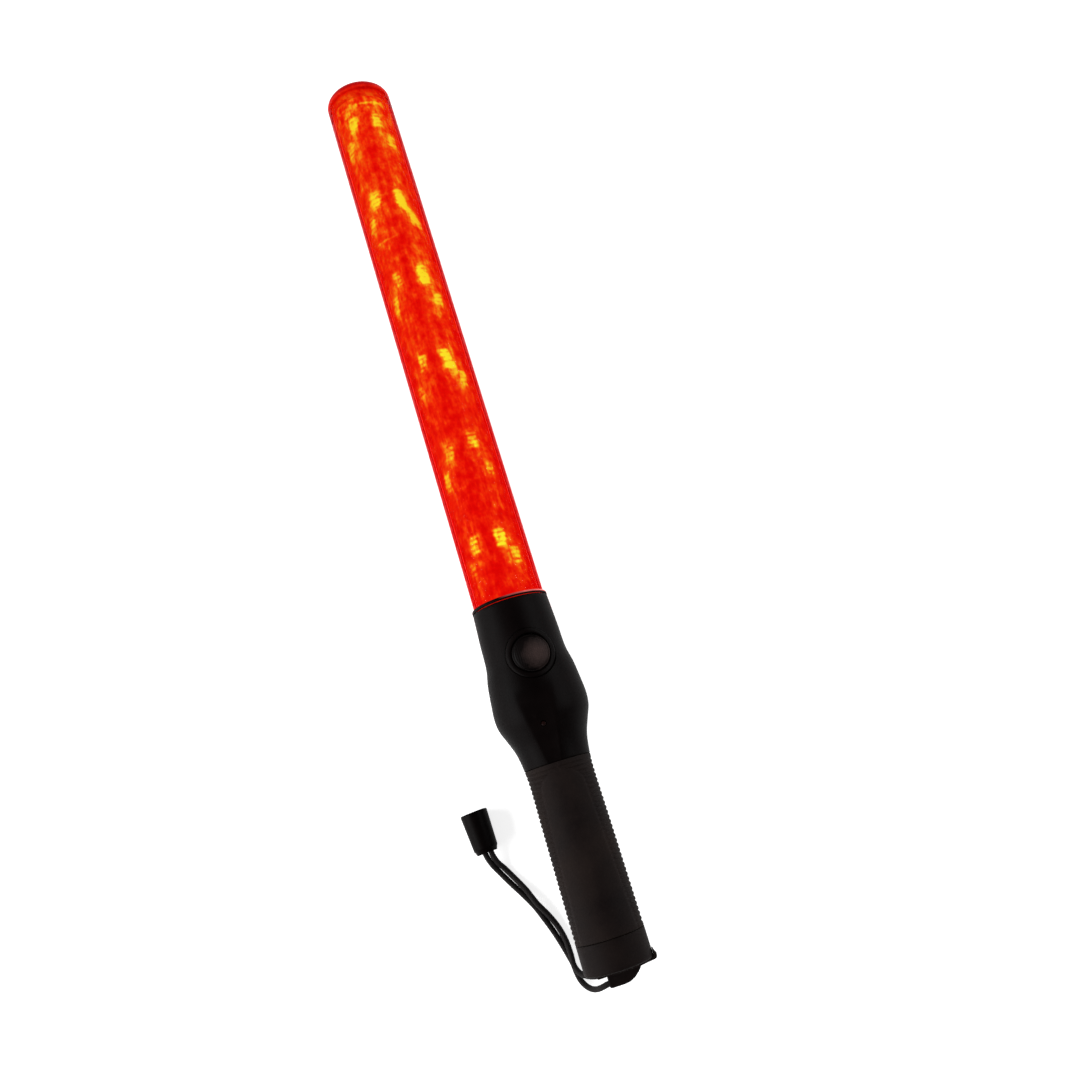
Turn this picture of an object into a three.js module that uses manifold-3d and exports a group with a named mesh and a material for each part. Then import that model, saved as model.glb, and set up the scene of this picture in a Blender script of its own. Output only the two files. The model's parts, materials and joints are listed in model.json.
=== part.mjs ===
// A hand-held traffic baton light: a red lit tube on a black handle with a push button, a ribbed grip
// and a doubled wrist cord that ends in a barrel. Millimetres, +Z up.
// It lies with its axis along Y, tip towards +Y and button up. The origin is on the surface it lies on,
// below the middle of its length.
import * as THREE from "three";
import { mergeVertices } from "three/addons/utils/BufferGeometryUtils.js";
import Module from "manifold-3d";

const wasm = await Module();
wasm.setup();

// ---- Driving dimensions ----
const GAP = 0.3; // clearance between touching pieces
const OVERALL_LENGTH = 540;
const AXIS_HEIGHT = 23.5; // of the baton's axis above the surface it lies on
const TIP_Y = OVERALL_LENGTH / 2;
const TAIL_Y = -OVERALL_LENGTH / 2;

const TUBE_RADIUS = 20;
const TUBE_WALL = 2;
const TUBE_BORE = TUBE_RADIUS - TUBE_WALL;
const COLLAR_Y = -70.5; // where the tube goes into the handle
const TUBE_FOOT_Y = -90;
const CAP_THICKNESS = 5.7;
const CAP_EDGE = 5; // edge rounding of the tip cap
const CAP_SKIN = 2.6;
const SPIGOT_LENGTH = 6;
const LINER_WALL = 0.8;

const SPINE_WIDTH = 17;
const SPINE_THICKNESS = 4;
const SPINE_END_Y = 255.5;
const STRIP_WIDTH = 15;
const STRIP_THICKNESS = 1.2;
const LAMP_LEVELS = 6;
const FIRST_LEVEL_Y = -35;
const LEVEL_PITCH = 55;
const REAR_LEVEL_SHIFT = -15; // the rear lamps sit between the front ones
const LAMP_OFFSET = 5; // of each lamp from the strip's centre line
const LAMP_RADIUS = 2.5;
const LAMP_HEIGHT = 3;
const DISC_PLACES = [101, 158, 253];
const DISC_THICKNESS = 1.2;

const RING_SIDES = 32; // corners of each ring of the handle's surface
const SHELL_WALL = 2.2;
const SLEEVE_WALL = 2.1;
const SLEEVE_TOP_Y = COLLAR_Y - 91;
const END_CAP_Y = -252;
const END_FACE_Y = -267.4;
const END_CAP_FLOOR = 4; // thickness of the end cap's face

const BUTTON_Y = -104;
const BUTTON_ROLL = THREE.MathUtils.degToRad(12); // the button is turned a little to the thumb's side
const BUTTON_RADIUS = 10.2;
const BUTTON_TRAVEL = 1.3;
const BEZEL_RADIUS = 13.4;
const BOARD_TOP = 9.6; // height of the control board's upper face above the axis
const INDICATOR_Y = -141;
const SCREW_PLACES = { upper: -122, lower: -151.5 };
const SCREW_SHANK = 1.5;
const SCREW_HEAD = 2.8;

const CELL_RADIUS = 9.2;
const CELL_LENGTH = 65;
const CELL_TOP_Y = -163.6;
const TRAY_WALL = 1.6;

const SOCKET_RADIUS = 5.2;
const SOCKET_BORE = 2.9;
const SOCKET_PIN = 0.9;
const LUG = { left: -8, right: 11.2, drop: 11.5, halfHeight: 3.2, reachY: -278 };
const LUG_BORES = { upperY: -270.3, lowerY: -275.3, radius: 1.8, endX: 0 }; // one for each end of the cord
const CAP_SCREW_RISE = 11.8;
const HINGE_X = -11;
const HINGE_BEAD = 1.4;
const COVER_HALF_HEIGHT = 7.3;
const LIP_INNER_X = 18.7; // the cover's lip lies along the end cap's side
const LIP_OUTER_X = 20.5;
const LIP_THIN_END = 0.6;
const LIP_HALF_HEIGHT = 3.6;
const LIP_END_Y = -260.6;
const LUG_STEM = { wide: 6, high: 3, x: 1, endY: -264 };

const CORD_DIAMETER = 3;
const STRAND_SPACING = 3.4;
const CORD_REST = CORD_DIAMETER / 2 + 0.1; // height of a strand that lies on the surface
const BARREL_LENGTH = 22.6;
const BARREL_WIDE = 7.5;
const BARREL_NARROW = 6.7;
const BARREL_FOOT = new THREE.Vector3(-51, -194.9, BARREL_WIDE);
const BARREL_TURN = THREE.MathUtils.degToRad(4);

// Half-width and half-thickness of the handle against the distance below the collar.
const HANDLE_OUTLINE = [
  [0, 21.2, 21.2],
  [18, 22.1, 21.9],
  [33, 22.7, 22.4],
  [41, 24.3, 22.9],
  [51, 25.4, 23.5],
  [60, 26.0, 24.0],
  [66, 25.3, 23.6],
  [72.5, 22.8, 21.6],
  [80, 20.0, 19.2],
  [88, 18.5, 17.8],
  [98, 17.9, 17.2],
  [125, 18.1, 17.2],
  [160, 18.3, 17.3],
  [205, 18.4, 17.4],
];
const SCOOP = { depth: 1.5, top: 50, bottom: 94, wide: 11, narrow: 3 }; // hollow on the bulge's front

// ---- Materials ----
const material = (color, roughness, metalness = 0) =>
  new THREE.MeshStandardMaterial({ color, roughness, metalness });
const RED_LENS = material(0xe01808, 0.25);
const CLEAR_LENS = material(0xff6040, 0.3);
const SILICONE = material(0xd8a090, 0.5);
const BLACK_PLASTIC = material(0x17120f, 0.55);
const BLACK_RUBBER = material(0x1d1714, 0.75);
const WHITE_PLASTIC = material(0xe8e4dc, 0.6);
const BOARD_GREEN = material(0x1c5a34, 0.5);
const LAMP_LENS = material(0xffd040, 0.2);
const STEEL = material(0xb8b8bc, 0.35, 1);
const CELL_WRAP = material(0x3a6ea8, 0.4);
const CORD_BLACK = material(0x0c0a0a, 0.9);

// ---- Geometry helpers ----
function solid(geometry) {
  const bare = geometry.clone();
  bare.deleteAttribute("normal");
  bare.deleteAttribute("uv");
  const merged = mergeVertices(bare, 1e-4);
  return new wasm.Manifold(
    new wasm.Mesh({
      numProp: 3,
      vertProperties: new Float32Array(merged.attributes.position.array),
      triVerts: new Uint32Array(merged.index.array),
    }),
  );
}

function geometryOf(body) {
  const mesh = body.getMesh();
  const geometry = new THREE.BufferGeometry();
  geometry.setAttribute("position", new THREE.BufferAttribute(mesh.vertProperties, 3));
  geometry.setIndex(new THREE.BufferAttribute(mesh.triVerts, 1));
  geometry.computeVertexNormals();
  return geometry;
}

const cut = (body, ...tools) => tools.reduce((rest, tool) => rest.subtract(tool), body);
const join = (body, ...others) => others.reduce((whole, other) => whole.add(other), body);

// A solid of revolution about Y. Profile points [radius, y] run up the outside and down the inside.
function turned(profile, segments = 36) {
  const points = profile.map(([radius, y]) => new THREE.Vector2(radius, y));
  const onAxis = profile[0][0] === 0 && profile.at(-1)[0] === 0;
  if (!onAxis) points.push(points[0].clone());
  return new THREE.LatheGeometry(points, segments);
}

const rod = (radius, low, high, segments = 16) =>
  turned([[0, low], [radius, low], [radius, high], [0, high]], segments);

const ring = (inner, outer, low, high, segments = 36) =>
  turned([[inner, low], [outer, low], [outer, high], [inner, high]], segments);

// Turns geometry made about Y so that its axis points up.
const upright = (geometry) => geometry.rotateX(Math.PI / 2);

const block = (width, length, height, x = 0, y = 0, z = 0) =>
  new THREE.BoxGeometry(width, length, height).translate(x, y, z);

// A closed skin through rings of equal point count, listed from the tip's side down, with flat ends.
function loft(rings) {
  const count = rings[0].length;
  const vertices = rings.flat().flatMap((p) => [p.x, p.y, p.z]);
  const faces = [];
  for (let r = 0; r + 1 < rings.length; r++) {
    for (let i = 0; i < count; i++) {
      const a = r * count + i;
      const b = r * count + ((i + 1) % count);
      faces.push(a, b, a + count, b, b + count, a + count);
    }
  }
  const ends = [0, rings.length - 1];
  ends.forEach((r, last) => {
    const centre = new THREE.Vector3();
    rings[r].forEach((p) => centre.addScaledVector(p, 1 / count));
    const hub = vertices.length / 3;
    vertices.push(centre.x, centre.y, centre.z);
    for (let i = 0; i < count; i++) {
      const a = r * count + i;
      const b = r * count + ((i + 1) % count);
      faces.push(hub, ...(last ? [a, b] : [b, a]));
    }
  });
  const geometry = new THREE.BufferGeometry();
  geometry.setAttribute("position", new THREE.Float32BufferAttribute(vertices, 3));
  geometry.setIndex(faces);
  return geometry;
}

// ---- The handle's surface ----
const widthCurve = new THREE.CatmullRomCurve3(
  HANDLE_OUTLINE.map(([down, half, deep]) => new THREE.Vector3(down, half, deep)),
  false,
  "centripetal",
);
const outlineSamples = widthCurve.getPoints(400);

function halfSizes(y) {
  const down = COLLAR_Y - y;
  const next = outlineSamples.findIndex((p) => p.x >= down);
  if (next <= 0) return outlineSamples[next < 0 ? outlineSamples.length - 1 : 0];
  const before = outlineSamples[next - 1];
  const after = outlineSamples[next];
  return before.clone().lerp(after, (down - before.x) / (after.x - before.x));
}

function scoopDepth(down, x) {
  const along = (down - SCOOP.top) / (SCOOP.bottom - SCOOP.top);
  if (along <= 0 || along >= 1) return 0;
  const reach = THREE.MathUtils.lerp(SCOOP.wide, SCOOP.narrow, along);
  const across = 1 - (x / reach) ** 2;
  return across > 0 ? SCOOP.depth * across * Math.sin(Math.PI * along) ** 0.6 : 0;
}

// One ring of the handle's surface, moved in by inset.
function handleRing(y, inset = 0, segments = RING_SIDES, scooped = false) {
  const { y: half, z: deep } = halfSizes(y);
  return Array.from({ length: segments }, (_, i) => {
    const angle = (2 * Math.PI * i) / segments;
    const x = (half - inset) * Math.cos(angle);
    const z = (deep - inset) * Math.sin(angle);
    const sink = scooped && z > 0 ? scoopDepth(COLLAR_Y - y, x) : 0;
    return new THREE.Vector3(x, y, z - sink);
  });
}

// ---- The scene ----
const baton = new THREE.Group();
const axis = new THREE.Group(); // its Y axis is the baton's axis
axis.position.z = AXIS_HEIGHT;
baton.add(axis);

function place(parent, name, shape, look) {
  const geometry = shape.isBufferGeometry ? shape : geometryOf(shape);
  const mesh = new THREE.Mesh(geometry, look);
  mesh.name = name;
  parent.add(mesh);
  return mesh;
}

// Lit tube, its prism liner and its cap
const CAP_Y = TIP_Y - CAP_THICKNESS;
const LINER_TOP_Y = CAP_Y - SPIGOT_LENGTH - GAP;
place(axis, "light_tube", ring(TUBE_BORE, TUBE_RADIUS, TUBE_FOOT_Y, CAP_Y - GAP, 40), RED_LENS);
place(
  axis,
  "optic_liner",
  ring(TUBE_BORE - GAP - LINER_WALL, TUBE_BORE - GAP, TUBE_FOOT_Y + 8.5, LINER_TOP_Y, 40),
  CLEAR_LENS,
);

function tipCap() {
  const edge = Array.from({ length: 6 }, (_, i) => {
    const angle = (Math.PI / 2) * (i / 5);
    return [
      TUBE_RADIUS - CAP_EDGE * (1 - Math.cos(angle)),
      TIP_Y - CAP_EDGE * (1 - Math.sin(angle)),
    ];
  });
  const spigot = TUBE_BORE - GAP;
  return turned(
    [
      [0, TIP_Y - CAP_SKIN],
      [spigot - 1.8, TIP_Y - CAP_SKIN],
      [spigot - 1.8, CAP_Y - SPIGOT_LENGTH],
      [spigot, CAP_Y - SPIGOT_LENGTH],
      [spigot, CAP_Y],
      [TUBE_RADIUS, CAP_Y],
      ...edge,
      [0, TIP_Y],
    ],
    40,
  );
}
place(axis, "tip_cap", tipCap(), RED_LENS);

// Lamp carrier: a flat spine with a lamp strip on each face, held by spacer discs
const SPINE_FOOT_Y = TUBE_FOOT_Y + 4.5;
const STRIP_FOOT_Y = SPINE_FOOT_Y + 6;
const STRIP_END_Y = SPINE_END_Y - 4;
const STRIP_LOW = SPINE_THICKNESS / 2 + GAP;
const STRIP_HIGH = STRIP_LOW + STRIP_THICKNESS;
const between = (low, high) => [high - low, (low + high) / 2];

function lampSpine() {
  const [length, middle] = between(SPINE_FOOT_Y, SPINE_END_Y);
  return block(SPINE_WIDTH, length, SPINE_THICKNESS, 0, middle);
}
place(axis, "lamp_spine", lampSpine(), WHITE_PLASTIC);

function lampStrip(side) {
  const [length, middle] = between(STRIP_FOOT_Y, STRIP_END_Y);
  const height = side * (STRIP_LOW + STRIP_THICKNESS / 2);
  return block(STRIP_WIDTH, length, STRIP_THICKNESS, 0, middle, height);
}

// A lamp: a round base under a dome, standing up from its strip.
function lamp() {
  const brim = LAMP_HEIGHT * 0.4;
  return upright(
    turned(
      [
        [0, 0],
        [LAMP_RADIUS, 0],
        [LAMP_RADIUS, brim],
        [LAMP_RADIUS * 0.75, LAMP_HEIGHT * 0.8],
        [0, LAMP_HEIGHT],
      ],
      8,
    ),
  );
}

for (const [face, side, shift] of [["front", 1, 0], ["rear", -1, REAR_LEVEL_SHIFT]]) {
  place(axis, `lamp_strip_${face}`, lampStrip(side), BOARD_GREEN);
  const row = new THREE.Group();
  row.rotation.y = side > 0 ? 0 : Math.PI;
  axis.add(row);
  for (let level = 0; level < LAMP_LEVELS; level++) {
    for (const [hand, offset] of [["left", -LAMP_OFFSET], ["right", LAMP_OFFSET]]) {
      const one = place(row, `lamp_${face}_${hand}_${level + 1}`, lamp(), LAMP_LENS);
      const x = side * offset; // the rear row is turned round, so left stays left
      one.position.set(x, FIRST_LEVEL_Y + level * LEVEL_PITCH + shift, STRIP_HIGH + GAP);
    }
  }
}

function spacerDisc(y) {
  const slot = block(SPINE_WIDTH + 2 * GAP, 10, 2 * (STRIP_HIGH + GAP), 0, y);
  const radius = TUBE_BORE - GAP - LINER_WALL - GAP;
  const plate = rod(radius, y - DISC_THICKNESS / 2, y + DISC_THICKNESS / 2, 36);
  return cut(solid(plate), solid(slot));
}
DISC_PLACES.forEach((y, i) => place(axis, `spacer_disc_${i + 1}`, spacerDisc(y), CLEAR_LENS));

function tubeFoot() {
  const plug = rod(TUBE_BORE - GAP, TUBE_FOOT_Y, TUBE_FOOT_Y + 8, 36);
  const seat = block(
    SPINE_WIDTH + 2 * GAP, 10, SPINE_THICKNESS + 2 * GAP, 0, SPINE_FOOT_Y - GAP + 5,
  );
  const wireWay = upright(rod(1.5, -1, 1, 8)).rotateX(Math.PI / 2).scale(1, 12, 1);
  wireWay.translate(0, TUBE_FOOT_Y + 4, 8);
  return cut(solid(plug), solid(seat), solid(wireWay));
}
place(axis, "tube_foot", tubeFoot(), WHITE_PLASTIC);

// Handle: two half shells around the tube's foot, the electronics and the cell
const SEAL_HEIGHT = 1.8;
const SHELL_TOP_Y = COLLAR_Y - SEAL_HEIGHT;
const SHELL_END_Y = END_CAP_Y + GAP;
const SEAT_RADIUS = TUBE_RADIUS + GAP;
const SEAT_FLOOR_Y = TUBE_FOOT_Y - 1;
const NECK_INSET = SLEEVE_WALL + GAP; // the shell is thinner under the sleeve
const BUTTON_HOLE = BEZEL_RADIUS + GAP;

place(
  axis,
  "tube_seal",
  ring(SEAT_RADIUS, SEAT_RADIUS + 1.1, SHELL_TOP_Y + GAP, COLLAR_Y + GAP, 40),
  SILICONE,
);

// Where the handle's rings go: closer together where it curves most.
function stations(top, bottom) {
  const places = [0, 14, 28, 36, 42, 48, 54, 60, 65, 69, 73, 78, 84, 90, 100, 140];
  const inside = places.map((down) => COLLAR_Y - down).filter((y) => y < top - 1 && y > bottom + 1);
  return [top, ...inside, bottom];
}

function shellBlank() {
  const wide = stations(SHELL_TOP_Y, SLEEVE_TOP_Y + GAP).map((y) => handleRing(y, 0, RING_SIDES, true));
  const neck = stations(SLEEVE_TOP_Y + GAP + 4, SHELL_END_Y).map((y) => handleRing(y, NECK_INSET));
  const room = stations(SEAT_FLOOR_Y, SLEEVE_TOP_Y + GAP + 4).map((y) =>
    handleRing(y, SHELL_WALL, RING_SIDES, true),
  );
  const neckRoom = stations(SLEEVE_TOP_Y + GAP + 8, SHELL_END_Y - 1).map((y) =>
    handleRing(y, NECK_INSET + SHELL_WALL),
  );
  const seat = rod(SEAT_RADIUS, SEAT_FLOOR_Y - 1, COLLAR_Y + 1, 40);
  const whole = join(solid(loft(wide)), solid(loft(neck)));
  return cut(whole, solid(loft(room)), solid(loft(neckRoom)), solid(seat));
}
const blank = shellBlank();
const BIG = 400;
const upperHalf = solid(block(BIG, BIG, BIG / 2, 0, -160, BIG / 4 + GAP / 2));
const lowerHalf = solid(block(BIG, BIG, BIG / 2, 0, -160, -BIG / 4 - GAP / 2));

const post = (radius, low, high, y, segments = 16) =>
  solid(upright(rod(radius, low, high, segments)).translate(0, y, 0));

// Straight up through the button's place, turned to its side.
function buttonDrill(radius) {
  const drill = upright(rod(radius, 12, 30, 24)).translate(0, BUTTON_Y, 0).rotateY(BUTTON_ROLL);
  return solid(drill);
}

function endWeb() {
  const half = handleRing(SHELL_END_Y, NECK_INSET + SHELL_WALL - 0.4);
  const slice = (y) => half.map((p) => new THREE.Vector3(p.x, y, p.z));
  const rim = solid(loft([slice(SHELL_END_Y + 5), slice(SHELL_END_Y + 2)]));
  return rim.intersect(solid(block(60, 20, 20, 0, SHELL_END_Y, 15)));
}

function alongY(radius, low, high, x, z, segments = 16) {
  return solid(rod(radius, low, high, segments).translate(x, 0, z));
}

function frontShell() {
  let shell = join(blank.intersect(upperHalf), endWeb());
  for (const y of Object.values(SCREW_PLACES)) {
    const ceiling = halfSizes(y).z - scoopDepth(COLLAR_Y - y, 0) - SHELL_WALL / 2;
    shell = join(shell, post(3.2, GAP / 2, ceiling, y));
    shell = cut(shell, post(SCREW_SHANK + GAP, -1, 9, y));
  }
  const lensHole = post(1.6, 5, 30, INDICATOR_Y);
  const capScrewHole = alongY(SCREW_SHANK + GAP, -260, SHELL_END_Y + 8, 0, CAP_SCREW_RISE);
  return cut(shell, buttonDrill(BUTTON_HOLE), lensHole, capScrewHole);
}
place(axis, "handle_front_shell", frontShell(), BLACK_PLASTIC);

function rearShell() {
  let shell = blank.intersect(lowerHalf);
  for (const y of Object.values(SCREW_PLACES)) {
    const floor = -halfSizes(y).z;
    shell = join(shell, post(4.4, floor + 1, -GAP / 2, y));
    shell = cut(
      shell,
      post(SCREW_SHANK + GAP, floor - 2, 1, y),
      post(SCREW_HEAD + GAP, floor - 2, floor + 5, y),
    );
  }
  const flat = solid(block(100, 300, 20, 0, -150, -AXIS_HEIGHT - 10)); // the flat that it lies on
  return cut(shell, flat);
}
place(axis, "handle_rear_shell", rearShell(), BLACK_PLASTIC);

// A pan-head screw with a cross recess, its axis up, its head down.
function screw(length) {
  const body = solid(
    upright(
      turned(
        [
          [0, 0],
          [SCREW_HEAD * 0.8, 0],
          [SCREW_HEAD, 0.6],
          [SCREW_HEAD, 2],
          [SCREW_SHANK, 2],
          [SCREW_SHANK, length],
          [0, length + 0.8],
        ],
        12,
      ),
    ),
  );
  const arm = SCREW_HEAD * 1.1;
  return cut(body, solid(block(arm, 0.8, 2, 0, 0, 0)), solid(block(0.8, arm, 2, 0, 0, 0)));
}
for (const [where, y] of Object.entries(SCREW_PLACES)) {
  const floor = -halfSizes(y).z + 5 - 2 - GAP;
  place(axis, `shell_screw_${where}`, screw(6 - floor), STEEL).position.set(0, y, floor);
}

// Grip: a moulded sleeve over the shells, between the bulge and the end cap
function gripSleeve() {
  const outside = stations(SLEEVE_TOP_Y, END_CAP_Y + GAP).map((y) => handleRing(y));
  const inside = stations(SLEEVE_TOP_Y + 1, END_CAP_Y - 1).map((y) => handleRing(y, SLEEVE_WALL));
  const body = cut(solid(loft(outside)), solid(loft(inside)));
  return body;
}
place(axis, "grip_sleeve", gripSleeve(), BLACK_RUBBER);

// Push button, its ring, the switch under it and the control board
const thumb = new THREE.Group();
thumb.rotation.y = BUTTON_ROLL;
axis.add(thumb);
const BUTTON_TOP = 23.6;
const BUTTON_EDGE = 21.0;
const FLANGE_TOP = 16.4;
const BUTTON_FOOT = 15.1;
const SWITCH_TOP = BOARD_TOP + GAP + 3.5;

function switchButton() {
  const dome = Array.from({ length: 6 }, (_, i) => {
    const share = 1 - i / 5;
    return [BUTTON_RADIUS * share, BUTTON_EDGE + (BUTTON_TOP - BUTTON_EDGE) * (1 - share ** 2)];
  });
  return upright(
    turned(
      [
        [0, BUTTON_FOOT],
        [BUTTON_RADIUS + 1, BUTTON_FOOT],
        [BUTTON_RADIUS + 1, FLANGE_TOP],
        [BUTTON_RADIUS, FLANGE_TOP],
        ...dome,
      ],
      24,
    ),
  );
}
place(thumb, "switch_button", switchButton(), BLACK_RUBBER).position.y = BUTTON_Y;

// The ring round the button follows the handle's round surface and stands a little proud of it.
function buttonBezel() {
  const { y: half, z: deep } = halfSizes(BUTTON_Y);
  const hoop = upright(ring(BUTTON_RADIUS + 0.4, BEZEL_RADIUS, 12, 30, 24)).translate(0, BUTTON_Y, 0);
  const top = Math.max(half, deep) + 0.5;
  const skin = ring(top - 2.8, top, BUTTON_Y - 20, BUTTON_Y + 20, 60);
  return solid(hoop).intersect(solid(skin));
}
place(thumb, "button_bezel", buttonBezel(), BLACK_PLASTIC);

function controlBoard() {
  const [length, middle] = between(-146, -93);
  const thickness = 1.6;
  const board = block(24, length, thickness, 0, middle, BOARD_TOP - thickness / 2);
  const holeX = -BOARD_TOP * Math.tan(BUTTON_ROLL); // the screw post stands straight up through it
  const hole = upright(rod(4, 0, 20)).translate(holeX, SCREW_PLACES.upper, 0);
  return cut(solid(board), solid(hole));
}
place(thumb, "control_board", controlBoard(), BOARD_GREEN);

function switchBody() {
  const height = SWITCH_TOP - BOARD_TOP - GAP;
  const body = block(6.2, 6.2, height, 0, BUTTON_Y, BOARD_TOP + GAP + height / 2);
  const well = post(1.7 + GAP, SWITCH_TOP - 2.2, SWITCH_TOP + 1, BUTTON_Y, 12);
  return cut(solid(body), well);
}
place(thumb, "switch_body", switchBody(), BLACK_PLASTIC);
place(
  thumb,
  "switch_plunger",
  upright(rod(1.7, SWITCH_TOP - 2.2 + BUTTON_TRAVEL + GAP, BUTTON_FOOT - GAP, 12)),
  WHITE_PLASTIC,
).position.y = BUTTON_Y;

function indicatorLens() {
  const top = halfSizes(INDICATOR_Y).z - 1.3;
  return upright(turned([[0, 12], [1.3, 12], [1.3, top - 0.5], [0.8, top], [0, top]], 12));
}
place(axis, "indicator_lens", indicatorLens(), CLEAR_LENS).position.y = INDICATOR_Y;

// Cell in its tray, with a plate and a spring for contacts
const CELL_END_Y = CELL_TOP_Y - CELL_LENGTH;
const TRAY_TOP_Y = CELL_TOP_Y + 3;
const TRAY_END_Y = CELL_END_Y - 8;

function cell() {
  return turned([
    [0, CELL_END_Y],
    [CELL_RADIUS - 0.8, CELL_END_Y],
    [CELL_RADIUS, CELL_END_Y + 0.8],
    [CELL_RADIUS, CELL_TOP_Y - 1.8],
    [CELL_RADIUS - 0.8, CELL_TOP_Y - 1],
    [2.8, CELL_TOP_Y - 1],
    [2.8, CELL_TOP_Y],
    [0, CELL_TOP_Y],
  ], 24);
}
place(axis, "battery_cell", cell(), CELL_WRAP);

function cellTray() {
  const inner = CELL_RADIUS + GAP;
  const trough = ring(inner, inner + TRAY_WALL, TRAY_END_Y, TRAY_TOP_Y, 24);
  const wall = (y) => rod(inner + TRAY_WALL, y, y + TRAY_WALL, 24);
  const whole = join(solid(trough), solid(wall(TRAY_END_Y)), solid(wall(TRAY_TOP_Y - TRAY_WALL)));
  return cut(whole, solid(block(40, 120, 20, 0, -200, 12))); // open above
}
place(axis, "cell_tray", cellTray(), BLACK_PLASTIC);
place(
  axis,
  "contact_plate",
  block(8, 0.6, 9, 0, TRAY_TOP_Y - TRAY_WALL - GAP - 0.3, -2.5),
  STEEL,
);

function contactSpring() {
  const turns = 4;
  const wire = 0.45;
  const low = TRAY_END_Y + TRAY_WALL + GAP + wire;
  const high = CELL_END_Y - GAP - wire;
  const steps = 40;
  const points = Array.from({ length: steps + 1 }, (_, i) => {
    const share = i / steps;
    const angle = 2 * Math.PI * turns * share;
    const radius = THREE.MathUtils.lerp(5, 2.4, share);
    const y = THREE.MathUtils.lerp(low, high, share);
    return new THREE.Vector3(radius * Math.cos(angle), y, radius * Math.sin(angle) - 2);
  });
  return sweep(points, wire, 6, steps);
}

// A round tube of few sides along a smooth curve.
function sweep(points, radius, sides, steps) {
  const section = new THREE.Shape(
    Array.from({ length: sides }, (_, i) => {
      const angle = (2 * Math.PI * i) / sides;
      return new THREE.Vector2(radius * Math.cos(angle), radius * Math.sin(angle));
    }),
  );
  const extrudePath = new THREE.CatmullRomCurve3(points, false, "centripetal");
  return new THREE.ExtrudeGeometry(section, { steps, bevelEnabled: false, extrudePath });
}
place(axis, "contact_spring", contactSpring(), STEEL);

// Charging socket, end cap and the cover over the charging port
const SOCKET_FACE_Y = END_FACE_Y + 0.5;
function chargeSocket() {
  const floor = SOCKET_FACE_Y + 9.5;
  return turned([
    [0, floor - 8],
    [SOCKET_PIN, floor - 8],
    [SOCKET_PIN, floor],
    [SOCKET_BORE, floor],
    [SOCKET_BORE, SOCKET_FACE_Y],
    [SOCKET_RADIUS, SOCKET_FACE_Y],
    [SOCKET_RADIUS, floor + 3],
    [0, floor + 3],
  ], 24);
}
place(axis, "charge_socket", chargeSocket(), BLACK_PLASTIC);

function endCap() {
  const edge = 1.2;
  const rings = [END_CAP_Y, END_FACE_Y + edge].map((y) => handleRing(y));
  const outside = solid(loft([...rings, handleRing(END_FACE_Y, edge)]));
  const pocket = solid(rod(14.6, END_FACE_Y + END_CAP_FLOOR, END_CAP_Y + 1, 32));
  const lugSeat = solid(block(40, 30, 12, 0, END_FACE_Y + 10, -LUG.drop - 2));
  const hollow = cut(pocket, lugSeat);
  const stem = LUG_STEM;
  const stemSlot = solid(block(stem.wide + 2 * GAP, 16, stem.high + 2 * GAP, stem.x, END_FACE_Y, -LUG.drop));
  const socketHole = alongY(SOCKET_RADIUS + GAP, END_FACE_Y - 1, END_CAP_Y, 0, 0, 24);
  const screwHole = alongY(SCREW_SHANK + GAP, END_FACE_Y - 1, END_CAP_Y, 0, CAP_SCREW_RISE);
  const screwSeat = alongY(SCREW_HEAD + GAP, END_FACE_Y - 1, END_FACE_Y + 2.4, 0, CAP_SCREW_RISE);
  const beadGroove = post(HINGE_BEAD + GAP, -7.6, 7.6, END_FACE_Y - 0.6, 16).translate([HINGE_X, 0, 0]);
  return cut(outside, hollow, stemSlot, socketHole, screwHole, screwSeat, beadGroove);
}
place(axis, "end_cap", endCap(), BLACK_PLASTIC);

// The wrist cord's lug: a rounded block outside the end face on a stem in the cap, with a blind bore for each
// end of the cord in its left side.
function lanyardLug() {
  const { left, right, drop, halfHeight, reachY } = LUG;
  const backY = END_FACE_Y - GAP;
  const outline = new THREE.Shape();
  outline.moveTo(left, backY);
  outline.lineTo(left, reachY + 2);
  outline.quadraticCurveTo(left, reachY, left + 2, reachY);
  outline.lineTo(right - 9, reachY);
  outline.quadraticCurveTo(right - 1.5, reachY, right, reachY + 6);
  outline.lineTo(right, backY);
  outline.closePath();
  const body = new THREE.ExtrudeGeometry(outline, {
    depth: 2 * halfHeight,
    bevelEnabled: false,
    curveSegments: 6,
  }).translate(0, 0, -drop - halfHeight);
  const { wide, high, x, endY } = LUG_STEM;
  const stem = block(wide, endY - backY + 1, high, x, (endY + backY - 1) / 2, -drop);
  const { upperY, lowerY, radius, endX } = LUG_BORES;
  const bores = [upperY, lowerY].map((y) =>
    solid(rod(radius, left - 1, endX, 16).rotateZ(-Math.PI / 2).translate(0, y, -drop)),
  );
  return cut(join(solid(body), solid(stem)), ...bores);
}
place(axis, "lanyard_lug", lanyardLug(), BLACK_PLASTIC);

const capScrew = place(axis, "end_cap_screw", screw(END_CAP_Y - END_FACE_Y + 4), STEEL);
capScrew.rotation.x = -Math.PI / 2;
capScrew.position.set(0, END_FACE_Y + GAP, CAP_SCREW_RISE);

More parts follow.
